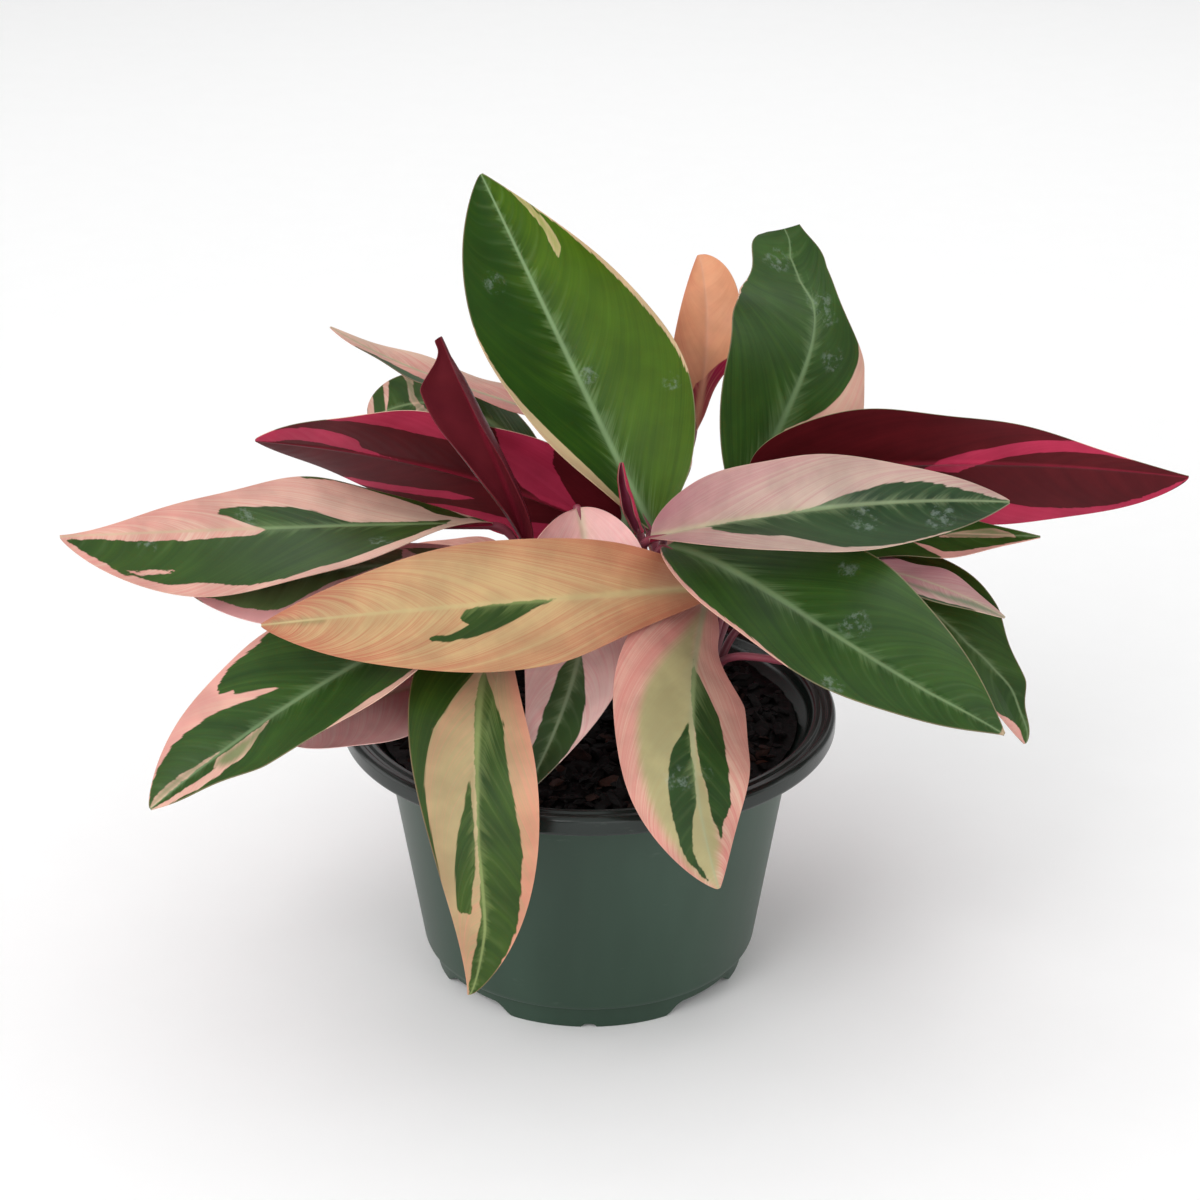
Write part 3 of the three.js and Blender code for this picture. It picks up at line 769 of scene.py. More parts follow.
@dataclass(frozen=True)
class NurseryPot:
    """A squat pot with a rolled rim, and a foot ring that four shallow gaps break.

    Attributes:
        height: Of the whole pot.
        rim_radius, rim_depth: Outside and height of the rim's outer band.
        mouth_radius: The opening.
        neck, heel, foot: Radius and height of the wall under the rim, above the foot, and of
            the foot ring.
        wall: Thickness.
        floor_top: Top of the floor.
        gaps, gap_half_angle, gap_height: Middles of the foot's gaps and half their width, in
            degrees, and their height.
        arch: How far a gap takes to reach its full height, at either end.
        nick_half_width, nick_height: The small notch at the very front.
        hole_radius, hole_at: Drain holes behind the gaps, and their distance from the middle.
        hole_cut: Heights from which and to which they are cut.
        columns, arch_columns, nick_columns, hole_columns: Corners round the pot, along each end
            of a gap, along the nick and round a drain hole.
        sharp: Edges that turn by more than this angle, in degrees, stay sharp.
    """

    height: float = 114.0
    rim_radius: float = 100.0
    rim_depth: float = 7.4
    mouth_radius: float = 90.5
    neck: Place = (83.3, 103.0)
    heel: Place = (68.6, 12.5)
    foot: Place = (63.4, 10.0)
    wall: float = 1.8
    floor_top: float = 14.0
    gaps: tuple[float, ...] = (47.5, 132.5, 227.5, 312.5)
    gap_half_angle: float = 19.5
    gap_height: float = 4.8
    arch: float = 10.0
    nick_half_width: float = 2.75
    nick_height: float = 1.6
    hole_radius: float = 5.0
    hole_at: float = 53.0
    hole_cut: Place = (2.0, 20.0)
    columns: int = 216
    arch_columns: int = 13
    nick_columns: int = 11
    hole_columns: int = 24
    sharp: float = 40.0

    def inside(self, height: float) -> float:
        """Inside radius of the wall at a height, on the straight line from heel to neck."""
        share = (height - self.heel[1]) / (self.neck[1] - self.heel[1])
        return self.heel[0] + share * (self.neck[0] - self.heel[0]) - self.wall

    def outline(self) -> Array:
        """Corners of the section, each with the size of its rounding, from the underside of the
        floor outwards, up the wall, round the rim and down the inside to the top of the floor."""
        top, rim, mouth = self.height, self.rim_radius, self.mouth_radius
        skirt = top - self.rim_depth
        skirt_inside = rim - self.wall - 0.4
        plate = top - 2.2
        foot, foot_top = self.foot
        return np.array([
            (0, foot_top, 0), (foot - 4, foot_top, 0.8), (foot - 2.6, 0, 0.5), (foot, 0, 0.6),
            (foot + 0.8, foot_top, 0.5), (self.heel[0] - 0.7, foot_top + 0.9, 0.5),
            (*self.heel, 0.8), (*self.neck, 3.0),
            (mouth + 1, top - 4.6, 1.2), (mouth + 2.4, plate, 0.6),
            (skirt_inside, plate, 0.5), (skirt_inside, skirt, 0.3),
            (rim - 0.5, skirt, 0.3), (rim, skirt + 1, 0.5),
            (rim, top - 1.3, 0.8), (rim - 1.4, top, 0.8),
            (rim - 3.4, top, 0.3), (rim - 4.0, top - 0.7, 0.3),
            (mouth + 4.0, top - 0.7, 0.3), (mouth + 3.2, top, 0.3),
            (mouth + 1.2, top, 0.7), (mouth, top - 1, 0.7), (mouth - 1.4, top - 5, 1.5),
            (self.inside(self.neck[1]), self.neck[1], 1.5),
            (self.inside(self.floor_top), self.floor_top, 1.0), (0, self.floor_top, 0)])

    def azimuths(self) -> Array:
        """Even steps round the pot, with finer ones where a gap of the foot ends or the nick is."""
        even = np.linspace(0, 2 * np.pi, self.columns, endpoint=False)
        ends = np.radians([gap + side * self.gap_half_angle for gap in self.gaps
                           for side in (-1, 1)])
        arch = np.linspace(-self.arch, self.arch, self.arch_columns) / self.foot[0]
        reach = self.nick_half_width + 0.4
        nick = np.linspace(-reach, reach, self.nick_columns) / self.foot[0]
        every = np.concatenate([even, (ends[:, None] + arch).ravel(), nick]) % (2 * np.pi)
        return np.unique(every.round(6))

    def lift(self, azimuth: Array) -> Array:
        """How far the foot's lower edge is cut away: a soft S leads up to the full height at both
        ends of a gap, and the nick is a small arch."""
        near = np.stack([np.abs((azimuth - math.radians(gap) + np.pi) % (2 * np.pi) - np.pi)
                         for gap in self.gaps]).min(axis=0)
        within = (math.radians(self.gap_half_angle) - near) * self.foot[0] / self.arch
        within = np.clip(within, 0, 1)
        climb = within ** 2 * (3 - 2 * within)
        front = np.abs((azimuth + np.pi) % (2 * np.pi) - np.pi) * self.foot[0]
        nick = np.sqrt(np.clip(1 - (front / self.nick_half_width) ** 4, 0, 1))
        return np.maximum(self.gap_height * climb, self.nick_height * nick)

    def bore(self, piece: bpy.types.Object) -> None:
        """Cuts the drain holes and keeps the result as the piece's own mesh.

        Args:
            piece: The pot.
        """
        azimuth = np.radians(self.gaps)
        turn = np.linspace(0, 2 * np.pi, self.hole_columns + 1)[:-1]
        low, high = self.hole_cut
        radius = np.repeat([[0.0], [1.0], [1.0], [0.0]], len(turn), 1) * self.hole_radius
        height = np.repeat([[low], [low], [high], [high]], len(turn), 1)
        points, faces = lathe(radius, height, turn)
        cutters = Shape()
        for x, y in zip(self.hole_at * np.sin(azimuth), -self.hole_at * np.cos(azimuth)):
            cutters.add(points + [x, y, 0], faces, 0)
        cutter = cutters.build("drain_cutter", [])
        cut = piece.modifiers.new("drain holes", "BOOLEAN")
        cut.object = cutter
        cut.solver = "EXACT"
        result = piece.evaluated_get(bpy.context.evaluated_depsgraph_get())
        mesh = bpy.data.meshes.new_from_object(result)
        piece.modifiers.clear()
        piece.data = mesh
        bpy.data.objects.remove(cutter)
        mesh.set_sharp_from_angle(angle=math.radians(self.sharp))

    def make(self) -> bpy.types.Object:
        """Turns the section round the axis, lifts the foot's edge at the gaps and bores the holes.

        Returns:
            The pot.
        """
        outline = rounded(self.outline())
        azimuth = self.azimuths()
        radius = np.repeat(outline[:, :1], len(azimuth), axis=1)
        height = np.repeat(outline[:, 1:], len(azimuth), axis=1)
        on_foot = height < self.foot[1] - 0.5
        height = np.where(on_foot, np.maximum(height, self.lift(azimuth)[None]), height)
        points, faces = lathe(radius, height, azimuth)
        shape = Shape()
        shape.add(points, faces, 0)
        piece = shape.build("nursery_pot", [PotFinish().material()], sharp=self.sharp)
        self.bore(piece)
        return piece


@dataclass(frozen=True)
class PottingMix:
    """The bed of bark mix and the loose chips on it.

    Attributes:
        pot: The pot that it fills.
        top: Mean height of the surface.
        top_radius: Radius of the surface.
        bottom: Height of the underside.
        clearance: Gap to the pot.
        rings, columns: Corners of the surface from the margin to the middle, and round it.
        waves: Height and length of each kind of wave in the surface.
        wave_count: Waves of each kind, every one with its own direction.
        wave_gain, sink: How much the mean of those waves is raised again, and how far the whole
            surface is lowered.
        bed_tone: Tone of the bed, from 0 for the darkest.
        chips: Number of loose chips.
        chip_length: Shortest and longest chip.
        chip_width, chip_thickness: Least and most, as shares of the chip's length.
        margin, stalk_gap: Least distance of the spiral to the margin, and of a chip to a stalk.
        scatter: How far a chip strays from its place in the spiral.
        dent: How much the corners of a chip vary.
        lean: How far a chip rolls and how far it tips at most, in radians.
        chip_height: Lowest and highest chip, from the mean surface.
        seed: Starts the random draws.
    """

    pot: NurseryPot
    top: float = 107.2
    top_radius: float = 84.4
    bottom: float = 14.4
    clearance: float = 0.4
    rings: int = 56
    columns: int = 180
    waves: tuple[Place, ...] = ((0.8, 23.0), (0.6, 11.0), (0.5, 5.5), (0.3, 3.1))
    wave_count: int = 5
    wave_gain: float = 1.6
    sink: float = 0.6
    bed_tone: float = 0.12
    chips: int = 1050
    chip_length: Place = (4.5, 17.0)
    chip_width: Place = (0.35, 0.75)
    chip_thickness: Place = (0.18, 0.4)
    margin: float = 2.5
    stalk_gap: float = 2.6
    scatter: float = 1.6
    dent: float = 0.16
    lean: Place = (0.5, 0.55)
    chip_height: Place = (-1.0, 1.5)
    seed: int = 11

    def bed(self, shape: Shape) -> None:
        """Adds the bed: a body of revolution whose top carries a few sums of waves as relief.

        Args:
            shape: Takes the bed.
        """
        rings = np.linspace(self.top_radius, 0, self.rings)
        azimuth = np.linspace(0, 2 * np.pi, self.columns + 1)[:-1]
        side = np.array([(0, self.bottom), (self.pot.inside(self.bottom) - 1, self.bottom),
                         (self.pot.inside(self.pot.neck[1]) - self.clearance, self.pot.neck[1])])
        radius = np.concatenate([side[:, 0], rings])[:, None] * np.ones_like(azimuth)
        height = np.concatenate([side[:, 1], np.full(len(rings), self.top)])[:, None]
        x, y = radius * np.sin(azimuth), -radius * np.cos(azimuth)
        rng = np.random.default_rng(self.seed)
        relief = np.zeros_like(radius)
        for size, length in self.waves:
            turn, start = rng.uniform(0, 2 * np.pi, (2, self.wave_count))
            wave = (np.cos(turn)[:, None, None] * x + np.sin(turn)[:, None, None] * y) * 2 * np.pi
            crest = np.sin(wave / length + start[:, None, None]).mean(axis=0)
            relief += size * crest * self.wave_gain
        on_top = np.arange(len(radius))[:, None] >= len(side)
        height = height + np.where(on_top, relief - self.sink, 0.0)
        points, faces = lathe(radius, height, azimuth)
        shape.add(points, faces, 0, {"tone": np.full(len(points), self.bed_tone)})

    def loose(self, shape: Shape, stalks: Array) -> None:
        """Adds the chips: twenty-sided lumps, stretched, dented and turned every way, laid over
        the bed in a sunflower's spiral with some scatter. A chip stays where nearly half its
        length, from its middle, is inside the margin and clear of the stalks.

        Args:
            shape: Takes the chips.
            stalks: Where the stalks stand, x and y of each.
        """
        rng = np.random.default_rng(self.seed + 1)
        body, faces = lump()
        order = np.arange(self.chips)
        reach = (self.top_radius - self.margin) * np.sqrt((order + 0.5) / self.chips)
        turn = order * math.pi * (3 - math.sqrt(5))
        place = np.stack([reach * np.cos(turn), reach * np.sin(turn)], axis=1)
        place += rng.normal(0, self.scatter, place.shape)
        length = rng.uniform(*self.chip_length, self.chips) * rng.uniform(0.5, 1, self.chips)
        width = length * rng.uniform(*self.chip_width, self.chips)
        thickness = length * rng.uniform(*self.chip_thickness, self.chips)
        size = np.stack([length, width, thickness], axis=1) / 2
        away = np.linalg.norm(place[:, None] - stalks[None], axis=2).min(axis=1)
        inside = np.linalg.norm(place, axis=1) + length * 0.45 < self.top_radius
        kept = inside & (away > self.stalk_gap + length * 0.42)
        place, size = place[kept], size[kept]
        count = len(place)
        dents = rng.normal(1, self.dent, (count, len(body), 1))
        corners = body[None] * dents * size[:, None]
        roll, tip = (rng.uniform(-lean, lean, count) for lean in self.lean)
        spin = rng.uniform(0, 2 * np.pi, count)
        corners = corners @ turned(roll, tip, spin).transpose(0, 2, 1)
        height = self.top + rng.uniform(*self.chip_height, count)
        corners += np.column_stack([place, height])[:, None]
        tone = rng.beta(1.2, 1.9, count)
        all_faces = faces[None] + (np.arange(count) * len(body))[:, None, None]
        shape.add(corners.reshape(-1, 3), all_faces.reshape(-1, 3), 0,
                  {"tone": np.repeat(tone, len(body))})

    def make(self, stalks: Array) -> bpy.types.Object:
        """Builds the bed and the chips as one piece.

        Args:
            stalks: Where the stalks stand, x and y of each.

        Returns:
            The potting mix.
        """
        shape = Shape()
        self.bed(shape)
        self.loose(shape, stalks)
        return shape.build("bark_potting_mix", [MixFinish().material()], sharp=28.0)


# ---- Leaves ----------------------------------------------


class Tissue(Enum):
    """What a patch of a blade is made of: tissue with green, without it, or with a thin veil."""

    GREEN = "green"
    PALE = "pale"
    GREY = "grey"


class Part(Enum):
    """The parts of a leaf that have their own material, by its number."""

    TOP = 0
    UNDERSIDE = 1
    STALK = 2


class Slot(Enum):
    """Material slots of the leaves."""

    GREEN = "leaf_green"
    SALMON = "leaf_salmon"
    PEACH = "leaf_peach"
    BLUSH = "leaf_blush"
    UNDERSIDE = "leaf_underside"
    MAGENTA = "leaf_magenta"


@dataclass(frozen=True)
class Patch:
    """A patch of one tissue, by corners on the flat blade.

    Attributes:
        tissue: What it is made of.
        outline: Its corners: t along the midrib, 0 to 1, and s across, -1 to 1. Where it reaches
            the margin, s goes beyond 1.
    """

    tissue: Tissue
    outline: Outline


@dataclass(frozen=True)
class Blush:
    """How pink the pale tissue is, 0 to 1: all over, and what is added towards the stalk, the tip
    and either margin."""

    all_over: float = 0.4
    stalk: float = 0.3
    tip: float = 0.1
    left: float = 0.1
    right: float = 0.1


@dataclass(frozen=True)
class StalkForm:
    """What every stalk shares, in millimetres.

    Attributes:
        radius: Before it thins out.
        foot: Height of its lower end, in the potting mix.
        collar: Height up to which it stands upright.
        base, thinning: Share of the radius at the foot, and what it loses on the way up.
        knuckle, bulge: Length of the thicker joint under the blade, and what it adds.
        gap: From the midrib to the middle of the stalk, where the blade starts and where the
            stalk ends.
        under: Where it runs on under the blade, as t.
        end: Share of the radius that it loses there.
        steps, under_steps, hole_steps: Points above the mix, under the blade and in the hole.
        sides: Corners round it.
    """

    radius: float = 2.0
    foot: float = 94.0
    collar: float = 109.0
    base: float = 0.95
    thinning: float = 0.22
    knuckle: float = 9.0
    bulge: float = 0.35
    gap: Place = (1.2, 1.8)
    under: Place = (0.01, 0.12)
    end: float = 0.65
    steps: int = 40
    under_steps: int = 9
    hole_steps: int = 4
    sides: int = 12


@dataclass(frozen=True)
class BladeForm:
    """What every blade shares, in millimetres.

    Attributes:
        thickness: At the midrib, without the ridge.
        thinning: Share of it that the margin lacks.
        keel, keel_width: Height and width of the midrib's ridge on the underside, at the stalk.
        keel_narrowing: Share of that width that is gone at the tip.
        groove, groove_width: Depth and width of the groove above the midrib, at the stalk.
        end: Half-width at the pointed ends.
        wave, waves: How far the margin waves up and down, and the waves along one margin.
        leaf_shift, half_shift: How far the waves shift from one leaf to the next, and from the
            left half to the right one, in waves.
        vein_depth: How far the veins press into the upper face.
        vein_lean: How far a vein comes on towards the tip, for the share across and its square.
        off_patch: Depth that stands for places outside every patch.
        noise_shift: How far the noise moves from one leaf to the next.
        along, across: Cells of the grid.
        crowding: Share of an even grid, along and across, that gives way to finer cells at the
            ends of the blade and at the midrib.
    """

    thickness: float = 0.5
    thinning: float = 0.4
    keel: float = 1.6
    keel_width: float = 1.5
    keel_narrowing: float = 0.7
    groove: float = 0.4
    groove_width: float = 1.3
    end: float = 0.6
    wave: float = 1.3
    waves: float = 2.5
    leaf_shift: float = 0.37
    half_shift: float = 0.3
    vein_depth: float = 0.05
    vein_lean: Place = (0.35, 0.2)
    off_patch: float = -60.0
    noise_shift: float = 3.7
    along: int = 120
    across: int = 48
    crowding: Place = (0.5, 0.28)


@dataclass(frozen=True)
class Leaf:
    """One leaf: its stalk, and its blade with the patches of colour.

    Attributes:
        name: Name of the leaf, as in the frame.
        look: Its finish.
        root: Where its stalk leaves the potting mix, x and y.
        rib: The midrib as a cubic Bezier curve, from the stalk to the tip.
        face: Direction that the upper face looks to: azimuth from the front, and elevation.
        half: Half-width of the left and of the right half where each is widest.
        swell, taper: Powers that round the outline at the stalk and point it at the tip.
        slot: The material slot that the finish belongs to; not used.
        twist: Turn of the blade about its midrib, from base to tip, in degrees.
        fold, curl: Angle of each half to the flat at the midrib, and its further bend.
        rise, bend: How upright the stalk starts, and the length of its bend under the blade.
        blunt: Half-width that is left at the tip.
        ground: Tissue outside the patches.
        patches: The patches.
        blush: How pink the pale tissue is.
        scuffs: Dried water marks: t, s and radius of each.
        drift: Where the midrib's light runs, as t and s, when it strays from the middle.
        sun: Painted light and shade: how much lighter the green of the left and of the right half
            is painted, -1 to 1, darker below zero.
        nips: Shallow bays and bulges of the outline: t, half-length in t, side -1 or 1, and the
            share of the half-width that it takes away.
        rolled: True where the leaf is rolled with its underside out.
    """

    name: str
    look: Look
    root: Place
    rib: tuple[tuple[float, float, float], ...]
    face: Place
    half: Place
    swell: Place
    taper: Place
    slot: Slot = Slot.GREEN
    twist: float = 0.0
    fold: float = 0.0
    curl: float = 0.0
    rise: float = 0.6
    bend: float = 12.0
    blunt: float = 0.0
    ground: Tissue = Tissue.GREEN
    patches: tuple[Patch, ...] = ()
    blush: Blush = Blush()
    scuffs: tuple[tuple[float, float, float], ...] = ()
    drift: Outline = ()
    sun: Place = (0.0, 0.0)
    nips: tuple[tuple[float, float, float, float], ...] = ()
    rolled: bool = False

    def midrib(self, t: Array) -> Array:
        """Points of the midrib."""
        return bezier(self.rib, t)

    def heading(self, t: Array) -> Array:
        """Direction of the midrib: the curve's first derivative, made one long."""
        a, b, c, d = (np.array(point, dtype=float) for point in self.rib)
        t = np.asarray(t, dtype=float)[..., None]
        return unit((1 - t) ** 2 * (b - a) + 2 * (1 - t) * t * (c - b) + t ** 2 * (d - c))

    def frame(self, t: Array) -> tuple[Array, Array]:
        """Up from the upper face and to the right of it: the leaf's facing made square to the
        midrib, and turned about it by the twist."""
        azimuth, elevation = np.radians(self.face)
        facing = np.array([math.cos(elevation) * math.sin(azimuth),
                           -math.cos(elevation) * math.cos(azimuth), math.sin(elevation)])
        along = self.heading(t)
        up = unit(facing - (along @ facing)[..., None] * along)
        turn = (math.radians(self.twist) * (np.asarray(t) - 0.5))[..., None]
        up = up * np.cos(turn) + np.cross(along, up) * np.sin(turn)
        return up, np.cross(along, up)

    def half_width(self, t: Array, side: Array, form: BladeForm) -> Array:
        """Half-width at t: t to the power of the swell times what is left to the tip to the power
        of the taper, scaled to the half's full width where it is widest, less the nips.

        Args:
            t: Place along the midrib, 0 to 1.
            side: Negative in the left half and positive in the right one.
            form: What every blade shares.

        Returns:
            The half-widths.
        """
        right = (np.asarray(side) > 0).astype(int)
        swell, taper = np.array(self.swell)[right], np.array(self.taper)[right]
        widest = swell / (swell + taper)
        most = widest ** swell * (1 - widest) ** taper
        share = np.clip(t, 0, 1) ** swell * np.clip(1 - t, 0, 1) ** taper / most
        for middle, length, nip_side, depth in self.nips:
            bump = np.clip(1 - ((t - middle) / length) ** 2, 0, 1) ** 2
            share = share * (1 - depth * bump * ((nip_side > 0) == (right > 0)))
        return form.end + self.blunt * t ** 6 + np.array(self.half)[right] * share

    def surface(self, t: Array, s: Array, order: int, form: BladeForm) -> tuple[Array, Array]:
        """Points of the upper face and the directions up from it.

        Each half follows an arc that leaves the midrib at the fold angle and turns by the curl.
        The margin waves up and down by a sine along the leaf, which fades to the midrib.

        Args:
            t: Place along the midrib, 0 to 1.
            s: Place across, -1 at the left margin to 1 at the right one.
            order: Number of the leaf, which shifts its waves.
            form: What every blade shares.

        Returns:
            The points and the directions, one row each.
        """
        up, side = self.frame(t)
        right, share = np.sign(s), np.abs(s)
        fold, curl = math.radians(self.fold), math.radians(self.curl or 0.1)
        angle = fold + curl * share
        half = self.half_width(t, s, form)
        out = half * (np.sin(angle) - math.sin(fold)) / curl
        lift = half * (math.cos(fold) - np.cos(angle)) / curl
        turns = form.waves * t + order * form.leaf_shift + np.where(s > 0, form.half_shift, 0)
        lift = lift + form.wave * share ** 2 * np.sin(2 * np.pi * turns) * np.sin(np.pi * t)
        points = self.midrib(t) + side * (out * right)[..., None] + up * lift[..., None]
        flat = np.where(right == 0, 1.0, np.cos(angle))
        return points, unit(up * flat[..., None] - side * (right * np.sin(angle))[..., None])

    def flat_place(self, t: Array, s: Array, form: BladeForm) -> tuple[Array, Array]:
        """Place on the blade laid flat, in millimetres along and across: the length of the midrib
        up to t, and s times the half-width there."""
        steps = np.linspace(0, 1, 200)
        length = lengths(self.midrib(steps))
        return np.interp(t, steps, length), s * self.half_width(t, s, form)

    def inside(self, tissue: Tissue, flat: Array, form: BladeForm) -> Array:
        """Signed distance into the nearest patch of a tissue, in millimetres on the flat blade."""
        depth = np.full(len(flat), form.off_patch)
        for patch in (p for p in self.patches if p.tissue is tissue):
            corners = np.array(patch.outline)
            shares = np.linspace(0, 1, 7)[:-1, None]
            after = np.roll(corners, -1, axis=0)
            fine = (corners[:, None] * (1 - shares) + after[:, None] * shares).reshape(-1, 2)
            outline = np.stack(self.flat_place(fine[:, 0], fine[:, 1], form), axis=1)
            depth = np.maximum(depth, distance_inside(flat, outline))
        return depth

    def values(self, t: Array, s: Array, order: int, form: BladeForm) -> dict[str, Array]:
        """What the finish reads at places on the blade.

        A vein leaves the midrib and bends towards the tip. At a share across, it has come on by
        the two parts of the lean, times the share and its square, of what is left of the leaf
        from where it started.

        Args:
            t, s: Places on the blade.
            order: Number of the leaf, which starts its noise.
            form: What every blade shares.

        Returns:
            The named values.
        """
        x, y = self.flat_place(t, s, form)
        stray = np.interp(t, *np.array(self.drift).T) if self.drift else 0.0
        across = (s - stray) * self.half_width(t, s, form)
        off = np.clip(np.abs(s - stray), 0, 1.1)
        lag = form.vein_lean[0] * off + form.vein_lean[1] * off ** 2
        whole = self.flat_place(np.ones(1), np.zeros(1), form)[0][0]
        vein = whole * (t - lag) / (1 - lag)
        flat = np.stack([x, y], axis=1)
        green, pale, grey = (self.inside(tissue, flat, form)
                             for tissue in (Tissue.GREEN, Tissue.PALE, Tissue.GREY))
        if self.ground is Tissue.GREEN:
            green = np.maximum(green, -np.maximum(pale, grey))
        else:
            green = np.minimum(green, -pale)
        share = np.abs(s)
        blush = (self.blush.all_over + self.blush.stalk * (1 - t) ** 3 + self.blush.tip * t ** 4
                 + np.where(s > 0, self.blush.right, self.blush.left) * share ** 2)
        scuff = np.zeros_like(t)
        for mark_t, mark_s, radius in self.scuffs:
            middle = np.array(self.flat_place(np.array([mark_t]), np.array([mark_s]), form)).T
            scuff = np.maximum(scuff, np.exp(-((flat - middle) ** 2).sum(axis=1) / radius ** 2))
        edge = (1 - share) * self.half_width(t, s, form)
        # Painted light and shade on the green of each half, fading in from the midrib.
        sun = np.where(s > 0, self.sun[1], self.sun[0]) * np.clip(share * 3, 0, 1)
        return {"vein": vein, "across": across, "share": share, "along": t, "green": green,
                "grey": grey, "blush": blush, "scuff": scuff, "edge": edge, "sun": sun,
                "seed": np.full_like(t, form.noise_shift * order)}

    def blade(self, shape: Shape, order: int, form: BladeForm) -> None:
        """Adds the blade: rings of corners that go over the upper face and back under it.

        The veins press into the upper face as a cosine across them, and the midrib is a groove
        above and a ridge below, both bell-shaped across.

        Args:
            shape: Takes the blade.
            order: Number of the leaf.
            form: What every blade shares.
        """
        even = np.linspace(0, 1, form.along + 1)
        ends, middle = form.crowding
        t_row = (1 - ends) * even + ends / 2 * (1 - np.cos(np.pi * even))
        even = np.linspace(-1, 1, form.across + 1)
        s_row = (1 - middle) * even + middle * even ** 3
        t, s = (grid.ravel() for grid in np.meshgrid(t_row, s_row, indexing="ij"))
        points, normal = self.surface(t, s, order, form)
        values = self.values(t, s, order, form)
        reach, share = np.abs(values["across"]), np.abs(s)
        vein = np.cos(2 * np.pi * values["vein"] / VEIN_GAP) * np.sin(np.pi * share) ** 0.7
        vein *= form.vein_depth
        groove = form.groove * np.exp(-(reach / form.groove_width) ** 2) * (1 - t)
        top = points + normal * (vein - groove)[:, None]
        ridge_width = form.keel_width * (1 - form.keel_narrowing * t)
        from_rib = share * self.half_width(t, s, form) / ridge_width
        ridge = form.keel * (1 - t) ** 0.8 * np.exp(-from_rib ** 2)
        thick = form.thickness * (1 - form.thinning * share ** 4) + ridge
        bottom = points + normal * (vein - thick)[:, None]
        rows, columns = len(t_row), len(s_row)
        ring = [grid.reshape(rows, columns, 3) for grid in (top, bottom)]
        corners = np.concatenate([ring[0], ring[1][:, ::-1]], axis=1)
        both = {name: np.concatenate([value.reshape(rows, columns),
                                      value.reshape(rows, columns)[:, ::-1]], axis=1).ravel()
                for name, value in values.items()}
        faces = grid_faces(rows, 2 * columns, ring=True)
        column = np.tile(np.arange(2 * columns), rows - 1)
        below = (column >= columns) & (column < 2 * columns - 1)
        faced = (Part.TOP, Part.UNDERSIDE) if self.rolled else (Part.UNDERSIDE, Part.TOP)
        finish = np.where(below, faced[0].value, faced[1].value)
        near = np.arange(columns - 1)
        far = 2 * columns - 1 - near
        first = np.stack([near + 1, near, far, far - 1], axis=1)
        last = np.stack([near, near + 1, far - 1, far], axis=1) + (rows - 1) * 2 * columns
        closing = np.full(2 * len(near), Part.TOP.value)
        shape.add(corners.reshape(-1, 3), np.concatenate([faces, first, last]),
                  np.concatenate([finish, closing]), both)

    def stalk(self, shape: Shape, form: StalkForm) -> None:
        """Adds the stalk: upright out of its hole, then a cubic Bezier curve that comes into line
        with the midrib, and a last stretch under the blade, where it thins out. Just below the
        blade it has a thicker knuckle.

        Args:
            shape: Takes the stalk.
            form: What every stalk shares.
        """
        x, y = self.root
        join = self.midrib(0.0) - form.gap[0] * self.frame(0.0)[0]
        collar = np.array([x, y, form.collar])
        reach = np.linalg.norm(join - collar)
        above_collar = np.array([x, y, form.collar + self.rise * reach])
        control = [collar, above_collar, join - self.bend * self.heading(0.0), join]
        curve = bezier(control, np.linspace(0, 1, form.steps))
        t = np.linspace(*form.under, form.under_steps)
        gap = np.linspace(*form.gap, form.under_steps)[:, None]
        under = self.midrib(t) - self.frame(t)[0] * gap
        hole = np.linspace([x, y, form.foot], collar, form.hole_steps + 1)[:-1]
        path = np.concatenate([hole, curve, under])
        length = lengths(path)
        joint = length[len(hole) + len(curve) - 1]
        climbed = np.clip(length / joint, 0, 1)
        from_knuckle = (length - joint + form.knuckle / 2) / (form.knuckle / 2)
        radius = form.radius * (form.base - form.thinning * climbed)
        radius += form.bulge * np.exp(-from_knuckle ** 2)
        radius *= 1 - form.end * np.clip((length - joint) / (length[-1] - joint), 0, 1)
        points, faces, turn = tube(path, radius, form.sides)
        along = np.repeat(climbed, form.sides)
        shape.add(points, faces, Part.STALK.value, {"along": along, "turn": turn})

    def make(self, order: int,
             finishes: dict[Look, list[bpy.types.Material]]) -> bpy.types.Object:
        """Builds the blade and the stalk as one piece.

        Args:
            order: Number of the leaf.
            finishes: For each look the materials of the parts, in the order of Part.

        Returns:
            The leaf.
        """
        shape = Shape()
        self.blade(shape, order, BladeForm())
        self.stalk(shape, StalkForm())
        return shape.build(self.name.replace("leaf_", "blade_"), finishes[self.look])


def patch_of(tissue: Tissue, row: Sequence[float]) -> Patch:
    """A patch from a plain row of numbers.

    Args:
        tissue: What it is made of.
        row: t and s of each corner in turn, in per cent of the midrib and of the half-width.

    Returns:
        The patch.
    """
    return Patch(tissue, tuple((t / 100, s / 100) for t, s in zip(row[::2], row[1::2])))


def green(*row: float) -> Patch:
    """A green patch."""
    return patch_of(Tissue.GREEN, row)


def pale(*row: float) -> Patch:
    """A patch without green."""
    return patch_of(Tissue.PALE, row)


def grey(*row: float) -> Patch:
    """A patch with a thin veil of green."""
    return patch_of(Tissue.GREY, row)


def veiled(*row: float) -> tuple[Patch, Patch]:
    """A patch without green in a green leaf, and the thin veil of green that lies over it."""
    return pale(*row), grey(*row)


